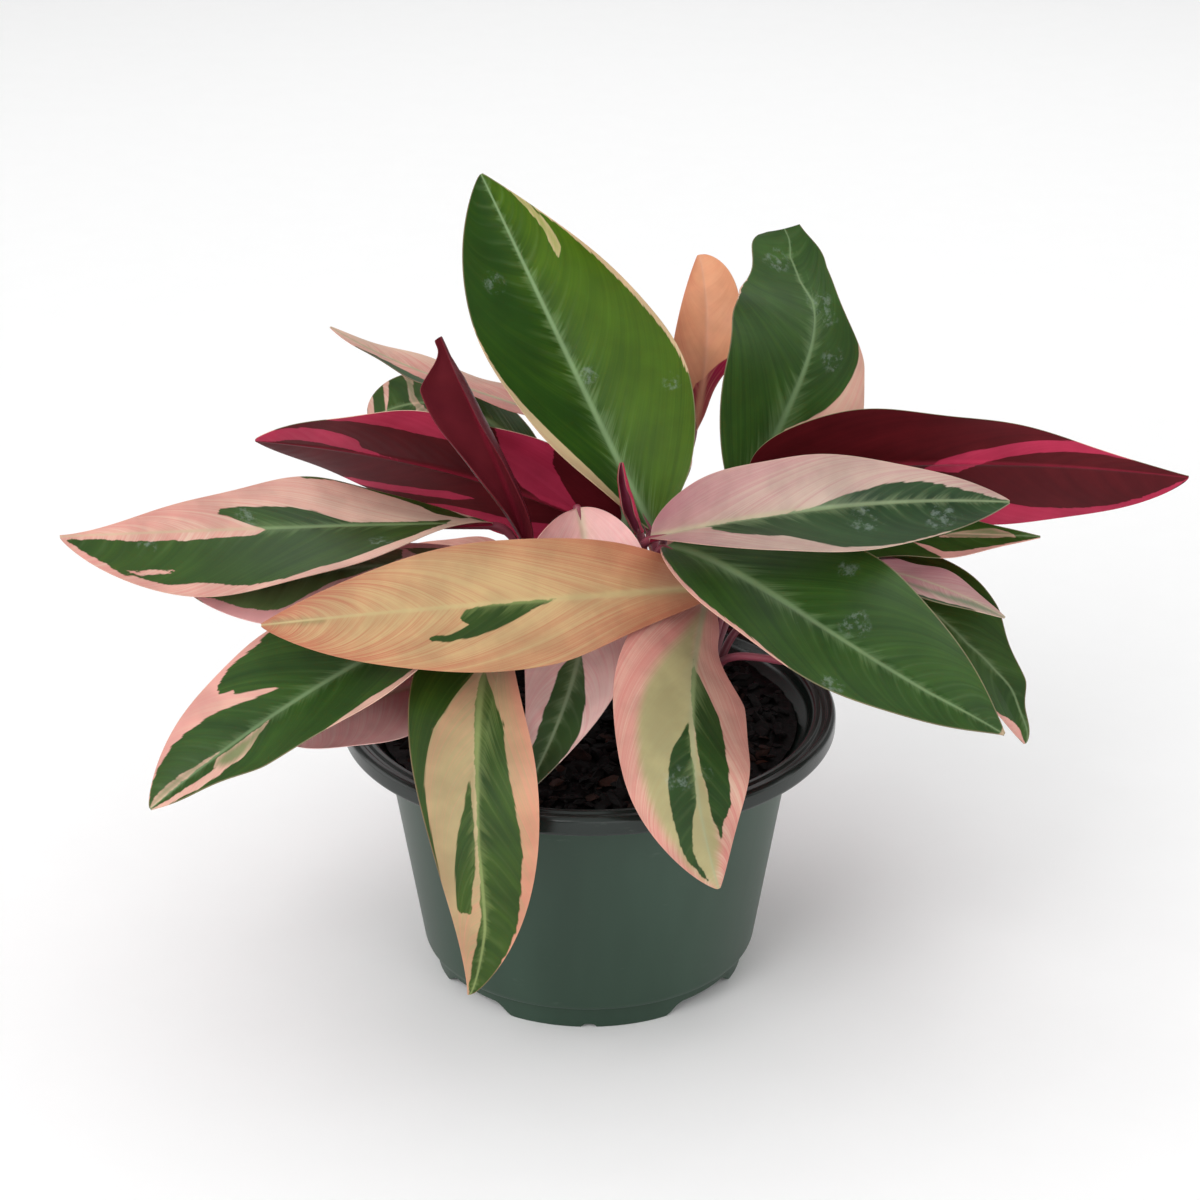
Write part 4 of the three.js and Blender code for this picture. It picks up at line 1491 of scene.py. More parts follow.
FINISHES = (
    LeafFinish(Look.BRIGHT_GREEN, deep=paint(32, 67, 8), bright=paint(75, 110, 14),
               rib=paint(132, 160, 112), pale=paint(210, 188, 144), blush=paint(208, 156, 130),
               grey=paint(150, 160, 82), bone=paint(170, 176, 120)),
    LeafFinish(Look.DEEP_GREEN, deep=paint(32, 62, 20), bright=paint(62, 98, 32),
               rib=paint(118, 144, 100), pale=paint(224, 194, 168), blush=paint(226, 160, 150),
               grey=paint(112, 130, 84)),
    LeafFinish(Look.PINK_GREEN, deep=paint(32, 60, 20), bright=paint(62, 94, 30),
               rib=paint(122, 146, 98), pale=paint(222, 194, 172), blush=paint(214, 148, 138),
               grey=paint(116, 130, 92), streaks=1.15),
    LeafFinish(Look.PEACH, deep=paint(30, 56, 16), bright=paint(58, 84, 24),
               rib=paint(128, 142, 84), pale=paint(197, 167, 120), blush=paint(184, 112, 84),
               grey=paint(92, 116, 66), margin=paint(208, 148, 116), bone=paint(198, 176, 126),
               streaks=1.3),
    LeafFinish(Look.SAND, deep=paint(34, 60, 18), bright=paint(66, 94, 26),
               rib=paint(136, 150, 92), pale=paint(170, 154, 112), blush=paint(206, 142, 116),
               grey=paint(120, 132, 76), margin=paint(214, 158, 132), bone=paint(192, 174, 132),
               streaks=1.2),
    LeafFinish(Look.MAUVE, deep=paint(28, 54, 26), bright=paint(50, 82, 42),
               rib=paint(134, 150, 112), pale=paint(192, 169, 154), blush=paint(180, 121, 129),
               grey=paint(112, 128, 100), bone=paint(186, 174, 146), streaks=1.2),
    LeafFinish(Look.SALMON, deep=paint(30, 56, 24), bright=paint(56, 86, 32),
               rib=paint(138, 154, 106), pale=paint(214, 180, 158), blush=paint(204, 132, 122),
               grey=paint(166, 162, 114), margin=paint(214, 164, 148), bone=paint(168, 168, 130),
               streaks=1.4),
    LeafFinish(Look.ORANGE_PEACH, deep=paint(150, 20, 60), bright=paint(184, 32, 80),
               rib=paint(244, 180, 146), pale=paint(252, 184, 140), blush=paint(238, 152, 118),
               grey=paint(200, 150, 100), margin=paint(240, 180, 148), bone=paint(246, 182, 146),
               jagged=0.4, streaks=0.6),
    LeafFinish(Look.ROLLED_MAGENTA, deep=paint(90, 26, 44), bright=paint(120, 40, 64),
               rib=paint(150, 60, 84), pale=paint(124, 38, 60), blush=paint(88, 24, 40),
               grey=paint(100, 40, 56), bone=paint(150, 66, 90), streaks=0.6),
    # Its underside tints are brighter than the defaults, to make up for the shade the rolled leaf
    # lies in: painted light.
    LeafFinish(Look.ROLLED_MAROON, deep=paint(80, 24, 32), bright=paint(98, 30, 42),
               rib=paint(112, 44, 58), pale=paint(120, 44, 58), blush=paint(110, 36, 50),
               grey=paint(90, 30, 40), margin=paint(110, 50, 58), under_deep=paint(112, 36, 48),
               under_mid=paint(126, 42, 50)),
    # Brighter paints for leaves in shade, standing in for the light they lack: painted light.
    LeafFinish(Look.SHADED, deep=paint(54, 82, 42), bright=paint(96, 122, 72),
               rib=paint(140, 162, 124), pale=paint(248, 224, 212), blush=paint(240, 176, 174),
               grey=paint(128, 144, 104), margin=paint(236, 206, 190), bone=paint(216, 196, 170)),
)

# One entry for each leaf: its name, look, root, rib, face, half, swell and taper, and then what
# differs from the values that Leaf gives.
# Where an entry lightens or darkens the green of a blade's halves, that is painted light and shade.
LEAVES = (
    # The right half's green is painted lighter and the left half's darker: painted light and shade.
    Leaf("leaf_tall_green", Look.BRIGHT_GREEN, (20, 8), ((25, 16, 184), (3, 32, 225),
        (-19, 50, 269), (-43, 68, 316)), (15, 30), (41.5, 41.5), (0.73, 0.66), (0.85, 0.95),
        twist=-55, fold=20, curl=25, bend=20, blush=Blush(0.1, 0.2, 0.1, 0.2, 0.2),
        sun=(-0.45, 0.4), scuffs=((0.33, 0.82, 4), (0.75, -0.5, 6), (0.44, 0.1, 4)),
        patches=(
          pale(6, -58, 18, -66, 27, -72, 35, -80, 42, -88, 50, -95.5, 62, -98.5, 70, -102,
            70, -130, 0, -130),
          pale(33, 98, 50, 95.5, 62, 94, 72, 95, 82, 98, 90, 102, 90, 130, 33, 130),
          grey(73.5, 50, 75.5, 66, 80, 78, 86, 92, 92, 110, 97, 110, 93, 95, 88, 80, 83, 70,
            78, 58))),
    Leaf("leaf_upright_right", Look.DEEP_GREEN, (30, 23), ((63, 32, 188), (90, 57, 245),
        (102, 58, 256), (79, 84, 288)), (35, 10), (44, 35), (0.58, 0.3), (0.41, 1.09), twist=25,
        curl=10, bend=18, blunt=9, blush=Blush(0.45, 0.2, 0, 0, 0.1), drift=((0, 0),
        (0.62, 0.03), (0.7, 0), (0.8, -0.12), (0.9, -0.16), (1, 0.1)), scuffs=((0.47, 0.45, 7),
        (0.9, -0.45, 8), (0.68, 0.3, 8)), nips=((0.68, 0.2, 1, 0.3), (0.93, 0.1, 1, -0.4),
        (0.93, 0.2, -1, 0.3)),
        patches=(
          pale(14, 0, 20, 8, 25, 30, 30, 46, 36, 62, 43, 78, 50, 90, 56, 102, 56, 130, 8, 130,
            8, 20),
          pale(60, -130, 62, -101, 74, -98, 86, -101, 88, -130))),
    Leaf("leaf_young_peach", Look.ORANGE_PEACH, (22, 32), ((43, 62, 208), (49, 69, 232),
        (50, 77, 257), (45, 84, 277)), (0, 10), (14, 14), (0.56, 1.1), (0.9, 0.6),
        slot=Slot.PEACH, twist=5, fold=10, curl=15, rise=0.4, bend=40, ground=Tissue.PALE,
        blush=Blush(0.2, 0.2, 0.1, 0.35, 0.1), nips=((0.2, 0.22, 1, 0.4),),
        patches=(
          green(0, -130, 12, -50, 26, -20, 30, 10, 40, 65, 46, 130, 0, 130),)),
    Leaf("leaf_centre_spear", Look.ROLLED_MAGENTA, (17, -2), ((20, 1, 189), (17, 0, 198),
        (14, 1, 208), (13, 3, 218)), (-15, 30), (6, 6), (0.68, 0.62), (0.81, 0.89),
        slot=Slot.MAGENTA, twist=-5, fold=25, curl=95, bend=20, ground=Tissue.PALE,
        blush=Blush(0.5, 0.2, 0, 0, 0.2)),
    Leaf("leaf_rolled_maroon", Look.ROLLED_MAROON, (-9, -2), ((-24, -4, 183), (-32, 2, 211),
        (-46, 9, 237), (-58, 18, 265)), (19, -37), (27, 15), (0.9, 0.5), (0.32, 0.42),
        slot=Slot.UNDERSIDE, twist=-29, fold=32, curl=81, bend=20, rolled=True,
        nips=((0.96, 0.13, -1, 0.8), (0.95, 0.16, 1, 0.75))),
    Leaf("leaf_left_underside", Look.PINK_GREEN, (0, 14), ((12, 21, 181), (-43, 35, 203),
        (-89, 40, 209), (-135, 40, 213)), (180, 35), (36, 34.5), (0.42, 0.5), (0.78, 0.85),
        slot=Slot.UNDERSIDE, twist=-10, curl=5, bend=16,
        patches=(
          pale(36, 42, 42, 60, 50, 72, 60, 82, 68, 95, 72, 110, 76, 105, 72, 85, 64, 70, 52, 58,
            44, 44),
          pale(5, 30, 13, 42, 24, 60, 34, 66, 44, 80, 54, 102, 54, 130, 4, 130),
          pale(58, -1, 70, -4, 78, -12, 86, -24, 91, -26, 96, -8, 100, 0, 100, -130, 94, -100,
            88, -85, 81, -70, 74, -50, 70, -35, 69, -16, 63, -5),
          pale(36, -130, 38, -60, 48, -58, 58, -64, 65, -74, 72, -88, 84, -110, 84, -130),
          pale(8, -2, 20, -2, 25, -10, 30, -40, 34, -100, 34, -130, 20, -130, 19, -70, 12, -25))),
    Leaf("leaf_back_left_blush", Look.SALMON, (8, 22), ((1, 46, 215), (-38, 71, 221),
        (-74, 89, 222), (-108, 98, 241)), (88, 68), (12, 21), (0.66, 0.54), (0.85, 1.04),
        slot=Slot.BLUSH, twist=-5, curl=4, bend=16, ground=Tissue.PALE,
        blush=Blush(0.75, 0.3, -0.6, 0.2, -0.5),
        patches=(
          green(48, -72, 62, -62, 72, -55, 80, -60, 88, -90, 88, -130, 48, -130),)),
    Leaf("leaf_back_left_green", Look.PINK_GREEN, (-6, 26), ((-14, 66, 181), (-38, 82, 212),
        (-65, 94, 218), (-94, 102, 198)), (5, 66), (18, 18), (0.6, 0.9), (0.9, 0.4), twist=-20,
        curl=4, bend=14,
        patches=(
          *veiled(62, -90, 66, -60, 73.5, -35, 79, 15, 86, 130, 82.5, 130, 77, 25, 70, -22,
            64, -50),
          pale(90, 130, 92, 130, 91.5, 40, 90.5, -20, 89.5, 40),
          pale(96.5, -130, 96, -40, 96.5, 20, 97, 130, 110, 0),
          pale(0, -130, 10, -88, 30, -84, 50, -88, 56, -130))),
    Leaf("leaf_left_long", Look.PINK_GREEN, (-20, -2), ((-38, 1, 193), (-94, -21, 202),
        (-149, -37, 206), (-201, -48, 208)), (-10, 73), (39.5, 35.5), (0.85, 0.45), (0.88, 1.62),
        twist=-71, fold=3, curl=8, bend=14, ground=Tissue.PALE,
        blush=Blush(0.55, -0.5, 0.15, 0.1, 0.2), scuffs=((0.56, 0.28, 7), (0.29, -0.6, 6),
        (0.8, -0.25, 5)),
        patches=(
          green(8, 25, 13, 13, 20, 7, 32, 7, 36, 20, 40, 34, 45, 44, 52, 50, 57, 57, 62, 57,
            62.5, 45, 60, 36, 58, 22, 55, 8, 52, -2, 55, -11, 68, -13, 80, -15, 92, -12, 97, -20,
            98.5, -42, 96, -66, 92, -72, 86, -88, 82, -84, 76, -86, 70, -78, 66, -80, 60, -90,
            52, -94, 46, -88, 38, -85, 30, -78, 22, -74, 17, -60, 13, -30, 11, -5),
          green(0, 130, 3, 62, 5, 45, 10, 50, 12, 78, 17, 90, 25, 97, 32, 98, 40, 95, 43, 110,
            43, 130),
          pale(74, -59, 80, -65, 86, -77, 85, -82, 79, -72, 75, -66))),
    # Brightened paints and lightened green halves: painted light for a leaf in shade.
    Leaf("leaf_left_lower", Look.SHADED, (-10, -10), ((-21, -20, 185), (-67, -27, 190),
        (-111, -36, 190), (-153, -48, 185)), (0, 80), (36, 27), (0.75, 0.55), (0.81, 1.09),
        twist=-5, fold=-10, curl=-5, bend=14, blush=Blush(0.7, 0, 0.2, 0.3, 0), sun=(0.6, 0.6),
        nips=((0.2, 0.25, 1, 0.35),),
        patches=(
          pale(36, 78, 37, 25, 42, 0, 50, -10, 60, -22, 66, -36, 74, -60, 80, -70, 87, -68,
            93, -56, 97, -46, 100, -30, 100, -130, 50, -130, 40, -60, 34, -10, 33, 40),
          pale(10, 95, 25, 78, 36, 70, 44, 50, 52, 80, 56, 130, 10, 130))),
    Leaf("leaf_low_left", Look.DEEP_GREEN, (-20, -16), ((-34, -34, 175), (-82, -71, 174),
        (-124, -98, 155), (-163, -114, 126)), (-40, 50), (33, 30), (0.59, 0.72), (0.99, 0.81),
        twist=-35, fold=10, curl=15, blush=Blush(0.55, 0, 0.1, -0.1, 0.3),
        nips=((0.85, 0.13, -1, 0.22),),
        patches=(
          pale(48, 130, 50, 99, 56, 92, 64, 94, 69, 88, 70, 78, 68.5, 72, 66, 67, 67, 60, 62, 44,
            56, 27, 61, 32, 67, 44, 73, 58, 80, 70, 88, 84, 94, 94, 100, 100, 100, 130),
          pale(65, -2, 70, -10, 75, -20, 80, -32, 84, -42, 93, -42, 98, -50, 100, -60, 100, -130,
            93, -80, 88, -86, 82, -70, 80, -56, 75, -46, 70, -26),
          pale(20, -130, 20, -90, 35, -90, 45, -84, 52, -92, 58, -102, 58, -130),
          grey(78, 2, 85, 10, 92, 26, 100, 50, 100, 0, 92, 2),
          grey(64, -2, 70, -6, 80, -8, 82, -30, 78, -50, 74, -42, 70, -24, 66, -10))),
    # Brightened paints: painted light for a leaf in shade.
    Leaf("leaf_low_left_blush", Look.SHADED, (-34, -12), ((-35, -27, 137), (-62, -49, 150),
        (-88, -67, 150), (-113, -80, 136)), (-10, 60), (27.5, 27.5), (0.72, 0.59), (0.77, 0.94),
        slot=Slot.BLUSH, twist=-12, fold=8, curl=14, bend=8, ground=Tissue.PALE,
        blush=Blush(0.6, 0.2, 0, 0.1, 0.1),
        patches=(
          green(0, 20, 25, 30, 42, 55, 52, 80, 55, 130, 0, 130),)),
    Leaf("leaf_front_peach", Look.PEACH, (46, -6), ((53, -9, 170), (-8, -67, 191),
        (-66, -92, 198), (-122, -83, 187)), (5, 40), (27.5, 23.5), (0.84, 0.76), (0.9, 1),
        slot=Slot.PEACH, fold=5, curl=10, rise=0.62, ground=Tissue.PALE,
        blush=Blush(0.05, 0.9, 0.7, 0.3, 0.35), nips=((0.12, 0.3, -1, 0.3),),
        patches=(
          green(39, -6, 45, -13, 50, -20, 55, -27, 60, -42, 64, -45, 64.2, -51, 61, -53, 55, -47,
            50, -37, 45, -24, 41, -12),
          green(35, 1, 45, 0, 52, -2, 55.5, -7, 57, -18, 56, -29, 50, -24, 45, -18, 40, -10),
          grey(86, -6, 90, 0, 97, 12, 97, 3, 92, -7))),
    # Brightened paints: painted light for a leaf in shade; its green halves carry painted shade.
    Leaf("leaf_centre_arching", Look.SHADED, (4, 6), ((-4, -5, 202), (4, -17, 172),
        (-1, -43, 145), (-24, -86, 118)), (6, 61), (26.5, 30), (0.58, 0.4), (0.8, 1),
        slot=Slot.BLUSH, twist=24, fold=16, curl=22, bend=3, ground=Tissue.PALE,
        blush=Blush(0.45, 0.3, 0, 0.1, 0.1), sun=(-0.6, -0.6),
        patches=(
          green(54, 0, 60, 20, 63, 28, 70, 35, 80, 47, 87, 60, 92, 80, 100, 100, 100, -130,
            88, -95, 82, -75, 75, -50, 68, -30, 60, -12),)),
    Leaf("leaf_hanging_left", Look.SAND, (-17, -27), ((-31, -47, 167), (-39, -105, 157),
        (-43, -131, 120), (-45, -126, 53)), (5, 30), (23, 31), (1.3, 0.5), (0.75, 1.5), curl=10,
        rise=0.62, bend=10, ground=Tissue.PALE, blush=Blush(0.05, 0.6, 0.6, 0.7, 0.1),
        drift=((0, 0.25), (0.2, 0.17), (0.4, 0.1), (0.55, 0.03), (0.65, -0.05), (0.75, -0.17),
        (0.85, -0.3), (1, -0.35)),
        patches=(
          green(0, 130, 8, 50, 16, 30, 23, 42, 30, 54, 35, 68, 42, 76, 50, 86, 60, 91, 70, 96,
            78, 104, 78, 130),
          green(13, 20, 25, 20, 40, 13, 50, 7, 58, 0, 65, -5, 76, -14, 82, -20, 90, -12, 97, -2,
            100, 10, 100, -130, 95, -102, 88, -95, 82, -90, 72, -78, 65, -76, 55, -62, 46, -50,
            36, -40, 30, -38, 27, -25, 22, 0),
          green(46, 17, 55, 25, 62, 38, 70, 52, 77, 62, 80, 66, 81, 50, 81, 5, 76, 0, 70, -3,
            63, 2, 56, 8))),
    Leaf("leaf_hanging_right", Look.SALMON, (35, 0), ((48, 0, 163), (37, -72, 161),
        (36, -112, 139), (49, -121, 96)), (22, 23), (25.5, 31.5), (0.7, 0.7), (0.9, 0.85),
        slot=Slot.SALMON, twist=1, fold=-6, curl=0, bend=10, ground=Tissue.PALE,
        blush=Blush(0.3, 0.55, 0.2, 0.3, 0.3), scuffs=((0.67, 0.25, 6), (0.64, -0.2, 4)),
        nips=((0.17, 0.16, -1, 0.42),),
        patches=(
          green(48, 4, 53, 16, 58, 28, 65, 38, 72, 44, 80, 52, 86, 62, 88, 68, 88.5, 52, 86, 34,
            80, 18, 74, 4, 66, 1, 56, 3),
          green(80, 30, 86, 42, 92, 45, 97.5, 52, 97, 66, 90, 68, 84, 60),
          green(26, 3, 30, -2, 31, -10, 36, -30, 42, -48, 50, -55, 60, -60, 68, -66, 75, -70,
            79, -66, 80, -58, 86, -54, 87, -48, 83, -42, 80, -25, 70, -20, 60, -8, 50, -3, 40, 2),
          grey(10, 10, 22, 30, 30, 45, 40, 60, 50, 68, 62, 73, 78, 75, 90, 77, 98, 75, 100, 40,
            98, -20, 92, -38, 86, -42, 80, -36, 70, -24, 60, -14, 50, -6, 30, -2))),
    Leaf("leaf_right_pink", Look.MAUVE, (13, -11), ((24, -11, 192), (67, -47, 218),
        (112, -58, 229), (160, -45, 221)), (5, 50), (21, 28), (0.45, 0.95), (0.9, 1),
        slot=Slot.BLUSH, twist=30, fold=15, curl=25, ground=Tissue.PALE,
        blush=Blush(0.1, 0.7, 0.15, 0.2, 0.05), scuffs=((0.8, 0.45, 8), (0.6, 0.3, 8)),
        nips=((0.2, 0.2, 1, 0.1),),
        patches=(
          green(15, 1, 18, 10, 20, 24, 26, 42, 33, 50, 42, 56, 50, 75, 56, 88, 62, 92, 70, 98,
            80, 97, 86, 110, 100, 130, 100, -50, 95, -42, 90, -52, 85, -55, 78, -61, 70, -52,
            62, -33, 55, -20, 48, -6, 40, 2, 28, 2),)),
    # The green of both halves is painted lighter: painted light.
    Leaf("leaf_far_right_underside", Look.DEEP_GREEN, (34, 14), ((64, 26, 203), (118, 31, 209),
        (176, 27, 211), (239, 15, 207)), (180, 25), (36.5, 31), (0.85, 0.45), (0.78, 1.27),
        slot=Slot.UNDERSIDE, twist=-15, curl=5, bend=14, sun=(0.3, 0.3),
        patches=(
          pale(42, -12, 46, 6, 52, 24, 58, 40, 65, 62, 72, 86, 78, 110, 90, 110, 85, 90, 79, 70,
            71, 46, 63, 22, 56, 2, 50, -16),
          pale(40, -55, 58, -58, 64, -68, 74, -80, 85, -86, 91, -82, 96, -68, 100, -40,
            100, -130, 40, -130))),
    Leaf("leaf_right_second", Look.DEEP_GREEN, (43, 7), ((68, 10, 186), (103, 12, 185),
        (140, 11, 185), (180, 6, 185)), (0, 83), (24, 27), (0.45, 0.75), (1.2, 1), twist=8,
        fold=3, curl=9, blush=Blush(0.7, 0, 0, 0.2, 0.2),
        patches=(
          pale(56, 34, 62, 50, 67, 74, 80, 80, 92, 84, 100, 70, 100, 130, 64, 130, 66, 95,
            61, 66),
          grey(66, 14, 80, 20, 92, 16, 90, -40, 84, -70, 78, -30, 70, 0))),
    Leaf("leaf_right_front_green", Look.DEEP_GREEN, (26, -12), ((30, -15, 190), (73, -69, 193),
        (115, -96, 178), (156, -96, 148)), (20, 50), (32.5, 32.5), (0.65, 0.8), (1, 1.15),
        twist=30, fold=10, curl=15, bend=10, blush=Blush(0.6, 0.3, 0, 0, 0), drift=((0, -0.24),
        (0.08, -0.18), (0.18, -0.1), (0.3, -0.03), (0.45, 0.05), (0.6, 0.11), (0.78, 0.16),
        (1, 0.1)), scuffs=((0.58, 0.85, 5), (0.43, -0.72, 5), (0.53, -0.2, 6)),
        patches=(
          pale(0, 96, 10, 92, 20, 91, 28, 94, 36, 93, 44, 97, 52, 102, 52, 130, 0, 130),
          grey(98.5, -130, 99, 0, 98.5, 130, 110, 130, 110, -130))),
    Leaf("leaf_right_narrow", Look.MAUVE, (48, 0), ((71, 12, 168), (97, -26, 191),
        (126, -49, 196), (158, -65, 182)), (65, 60), (20, 25), (0.57, 0.63), (0.95, 0.85),
        slot=Slot.BLUSH, twist=-10, curl=5, ground=Tissue.PALE,
        blush=Blush(0.8, 0.1, -0.6, 0.2, -0.3),
        patches=(
          grey(62, 40, 70, 52, 78, 58, 88, 60, 100, 60, 100, -10, 90, 2, 80, 34, 72, 36),
          green(50, 130, 55, 86, 70, 88, 90, 86, 95, 130))),
    Leaf("leaf_right_drooping", Look.DEEP_GREEN, (52, 16), ((76, 20, 151), (117, 16, 174),
        (149, -7, 164), (171, -48, 120)), (50, 55), (27.5, 30.5), (0.63, 0.57), (0.76, 0.84),
        fold=5, curl=10, blush=Blush(0.7, 0, 0, 0, 0.2), drift=((0, 0), (0.55, 0.05), (0.72, 0),
        (0.82, -0.25), (0.92, -0.6), (1, -0.8)), nips=((0.78, 0.12, -1, 0.15),
        (0.93, 0.07, -1, 0.3)),
        patches=(
          pale(90, 130, 93, 70, 95, 20, 97, -20, 100, 0, 100, 130),)),
    Leaf("leaf_right_hidden", Look.PINK_GREEN, (46, -16), ((80, -38, 152), (106, -54, 158),
        (125, -62, 153), (138, -64, 140)), (30, 70), (22, 22), (0.65, 0.65), (0.9, 0.9), fold=10,
        curl=15, rise=0.75, bend=26,
        patches=(
          pale(30, 10, 50, 35, 66, 70, 74, 130, 30, 130, 22, 50),)),
    Leaf("leaf_rear_middle", Look.PINK_GREEN, (14, 30), ((14, 46, 164), (17, 83, 184),
        (15, 129, 181), (10, 182, 147)), (180, 80), (29, 29), (0.65, 0.65), (0.9, 0.9), fold=10,
        curl=15, bend=14, blush=Blush(0.55, 0.2, 0.2, 0.2, 0.2),
        patches=(
          pale(28, 2, 38, 22, 52, 44, 68, 66, 80, 86, 84, 130, 36, 130, 30, 80, 22, 40),
          pale(62, -4, 72, -24, 86, -50, 96, -80, 96, -130, 80, -130, 70, -60),
          grey(50, 2, 62, 20, 74, 44, 70, 52, 56, 34))),
    Leaf("leaf_rear_right", Look.DEEP_GREEN, (40, 30), ((60, 54, 150), (93, 84, 170),
        (124, 115, 158), (152, 148, 114)), (140, 75), (31, 31), (0.65, 0.65), (0.9, 0.9),
        fold=10, curl=15, bend=14, blush=Blush(0.45, 0.2, 0.1, 0.2, 0.1),
        patches=(
          pale(10, -130, 14, -82, 30, -72, 46, -80, 60, -92, 74, -105, 74, -130),
          pale(52, 16, 60, 26, 72, 52, 84, 84, 90, 120, 78, 120, 70, 80, 60, 46))),
    Leaf("leaf_rear_left", Look.SALMON, (-14, 16), ((-30, 48, 134), (-65, 83, 142),
        (-97, 110, 128), (-128, 133, 88)), (220, 75), (31, 31), (0.65, 0.65), (0.9, 0.9),
        fold=10, curl=15, bend=14, ground=Tissue.PALE, blush=Blush(0.4, 0.4, 0.2, 0.2, 0.2),
        patches=(
          green(6, 0, 18, 16, 34, 40, 50, 66, 62, 80, 70, 72, 66, 46, 80, 60, 90, 70, 93, 50,
            86, 16, 78, 0, 50, 2, 28, 0),
          green(20, -4, 40, -6, 56, -20, 64, -40, 60, -62, 48, -56, 34, -34),
          grey(30, 10, 52, 6, 80, 10, 94, 40, 88, 84, 66, 92, 44, 70))),
    Leaf("leaf_rear_low_right", Look.SALMON, (30, 42), ((36, 66, 140), (53, 97, 155),
        (65, 133, 138), (74, 170, 90)), (165, 70), (29, 29), (0.65, 0.65), (0.9, 0.9), fold=10,
        curl=15, ground=Tissue.PALE, blush=Blush(0.35, 0.4, 0.3, 0.2, 0.1),
        patches=(
          green(10, 0, 24, -12, 40, -34, 58, -62, 72, -82, 78, -60, 88, -66, 94, -40, 90, -4,
            60, 0, 30, 0),
          green(0, 130, 10, 70, 26, 80, 44, 90, 58, 105, 58, 130))),
    Leaf("leaf_rear_low_left", Look.DEEP_GREEN, (-2, 38), ((-2, 62, 122), (-18, 98, 130),
        (-34, 130, 114), (-50, 156, 72)), (200, 70), (29, 29), (0.65, 0.65), (0.9, 0.9), fold=10,
        curl=15, blush=Blush(0.6, 0.2, 0.1, 0.1, 0.2),
        patches=(
          pale(34, -2, 46, -20, 62, -46, 78, -74, 86, -120, 56, -130, 50, -80, 40, -36),
          pale(70, 6, 80, 24, 90, 50, 98, 90, 98, 130, 88, 130, 80, 60))),
)


# ---- The room --------------------------------------------


@dataclass(frozen=True)
class Lamp:
    """A square soft light.

    Attributes:
        name: Name of the light.
        place: Where it hangs, in millimetres round the pot's axis.
        size: Its width, in metres.
        power: In watts.
    """

    name: str
    place: tuple[float, float, float]
    size: float
    power: float


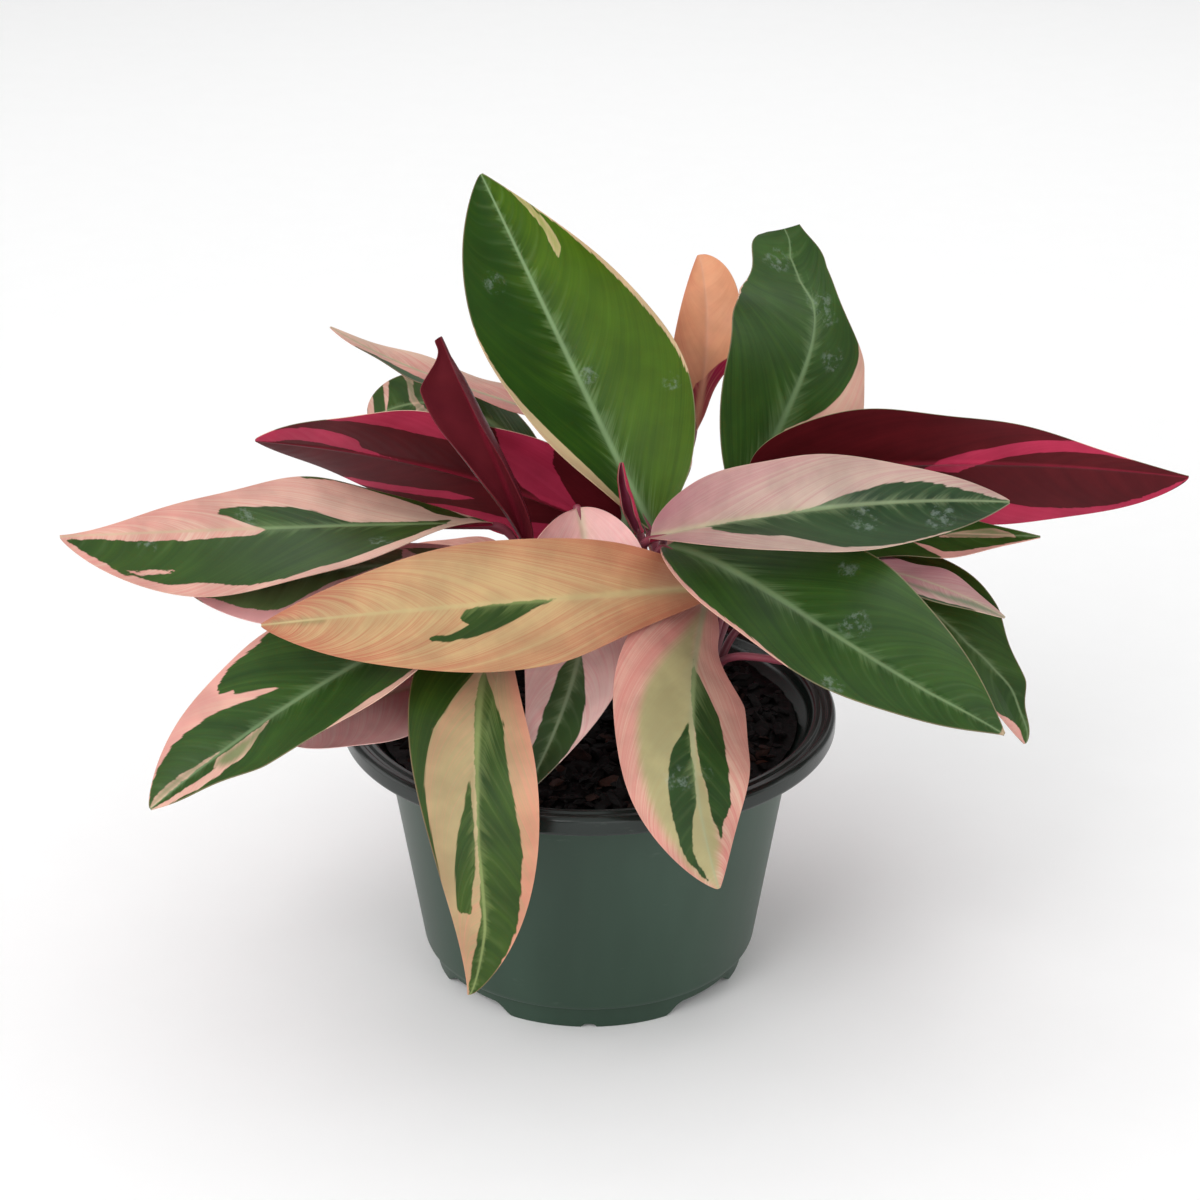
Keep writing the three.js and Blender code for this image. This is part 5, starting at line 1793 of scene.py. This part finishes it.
@dataclass(frozen=True)
class Studio:
    """A plain pale floor, soft light and the camera.

    Attributes:
        distance: From the camera to what it looks at, in millimetres.
        elevation: Of the camera, in degrees.
        aim: What the camera and the lamps look at, round the pot's axis.
        lens, sensor: Focal length and width of the sensor.
        reach: How far the camera sees, in metres.
        floor: Half-width of the floor.
        lamps: The soft lights.
        glow, glow_strength: Colour and strength of the even light of the room.
    """

    distance: float = 1300.0
    elevation: float = 24.2
    aim: tuple[float, float, float] = (4.5, 0.0, 160.0)
    lens: float = 97.5
    sensor: float = 36.0
    reach: float = 30.0
    floor: float = 6000.0
    lamps: tuple[Lamp, ...] = (
        Lamp("ceiling", (0, 0, 4000), 7.0, 85.0),
        Lamp("key", (-1500, -2200, 2000), 2.0, 54.0),
        Lamp("fill", (900, -2600, 900), 2.4, 25.0),
        Lamp("back", (200, 1400, 1500), 1.8, 8.0),
        Lamp("left", (-2600, 500, 700), 1.8, 16.0),
        Lamp("right", (2600, 500, 700), 1.8, 16.0))
    glow: Colour = WHITE
    glow_strength: float = 0.32

    def placed(self, point: tuple[float, float, float] | Array) -> Vector:
        """A point round the pot's axis, as a place in the frame."""
        return Vector(np.array(point) * METRES + pot_axis())

    def look(self, thing: bpy.types.Object, place: Vector) -> None:
        """Puts a camera or a light in its place and turns it to the aim.

        Args:
            thing: The camera or the light.
            place: Its place in the frame.
        """
        thing.location = place
        thing.rotation_euler = (self.placed(self.aim) - place).to_track_quat("-Z", "Y").to_euler()
        bpy.context.scene.collection.objects.link(thing)

    def camera(self) -> None:
        """The camera, square to the front and a little above the leaves."""
        data = bpy.data.cameras.new("camera")
        data.lens = self.lens
        data.sensor_width = self.sensor
        data.sensor_fit = "HORIZONTAL"
        data.clip_end = self.reach
        thing = bpy.data.objects.new("camera", data)
        rise = math.radians(self.elevation)
        away = self.distance * np.array([0, -math.cos(rise), math.sin(rise)])
        self.look(thing, self.placed(np.array(self.aim) + away))
        bpy.context.scene.camera = thing

    def light(self, lamp: Lamp) -> None:
        """Hangs one lamp.

        Args:
            lamp: The lamp.
        """
        data = bpy.data.lights.new(lamp.name, "AREA")
        data.size = lamp.size
        data.energy = lamp.power
        self.look(bpy.data.objects.new(lamp.name, data), self.placed(lamp.place))

    def even_light(self) -> None:
        """The even light of the room."""
        world = bpy.data.worlds.new("room")
        world.use_nodes = True
        background = world.node_tree.nodes["Background"]
        background.inputs["Color"].default_value = self.glow
        background.inputs["Strength"].default_value = self.glow_strength
        bpy.context.scene.world = world

    def table(self) -> bpy.types.Object:
        """The floor: one flat square under everything."""
        half = self.floor
        shape = Shape()
        corners = np.array([(-half, -half, 0), (half, -half, 0), (half, half, 0), (-half, half, 0)])
        shape.add(corners, np.array([(0, 1, 2, 3)]), 0)
        return shape.build("floor", [FloorFinish().material()])

    def make(self) -> None:
        """Sets up the floor, the lamps, the even light and the camera."""
        self.table()
        for lamp in self.lamps:
            self.light(lamp)
        self.even_light()
        bpy.context.scene.view_settings.view_transform = "Standard"
        self.camera()


# ---- The plant -------------------------------------------


@dataclass(frozen=True)
class Stromanthe:
    """The whole plant in its pot.

    Attributes:
        leaves: Its leaves.
        pot: Its pot.
    """

    leaves: tuple[Leaf, ...] = LEAVES
    pot: NurseryPot = NurseryPot()

    def keep(self, piece: bpy.types.Object, node: str) -> None:
        """Hangs a piece on the frame in place of a node, and reports it.

        Args:
            piece: The new piece.
            node: The node that it stands for.
        """
        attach(piece, "root")
        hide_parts(node)
        log.info("%s: %d faces", piece.name, len(piece.data.polygons))

    def make(self) -> None:
        """Builds the pot, the potting mix and every leaf."""
        self.keep(self.pot.make(), "pot")
        stalks = np.array([leaf.root for leaf in self.leaves], dtype=float)
        self.keep(PottingMix(self.pot).make(stalks), "potting_mix")
        stalk = StalkFinish().material()
        finishes = {finish.look: [finish.top(), finish.under(), stalk] for finish in FINISHES}
        for order, leaf in enumerate(self.leaves):
            self.keep(leaf.make(order, finishes), leaf.name)


def main() -> None:
    """Builds the plant and the room round it."""
    logging.basicConfig(level=logging.INFO, format="%(name)s: %(message)s")
    Studio().make()
    Stromanthe().make()


if __name__ == "__main__":
    main()
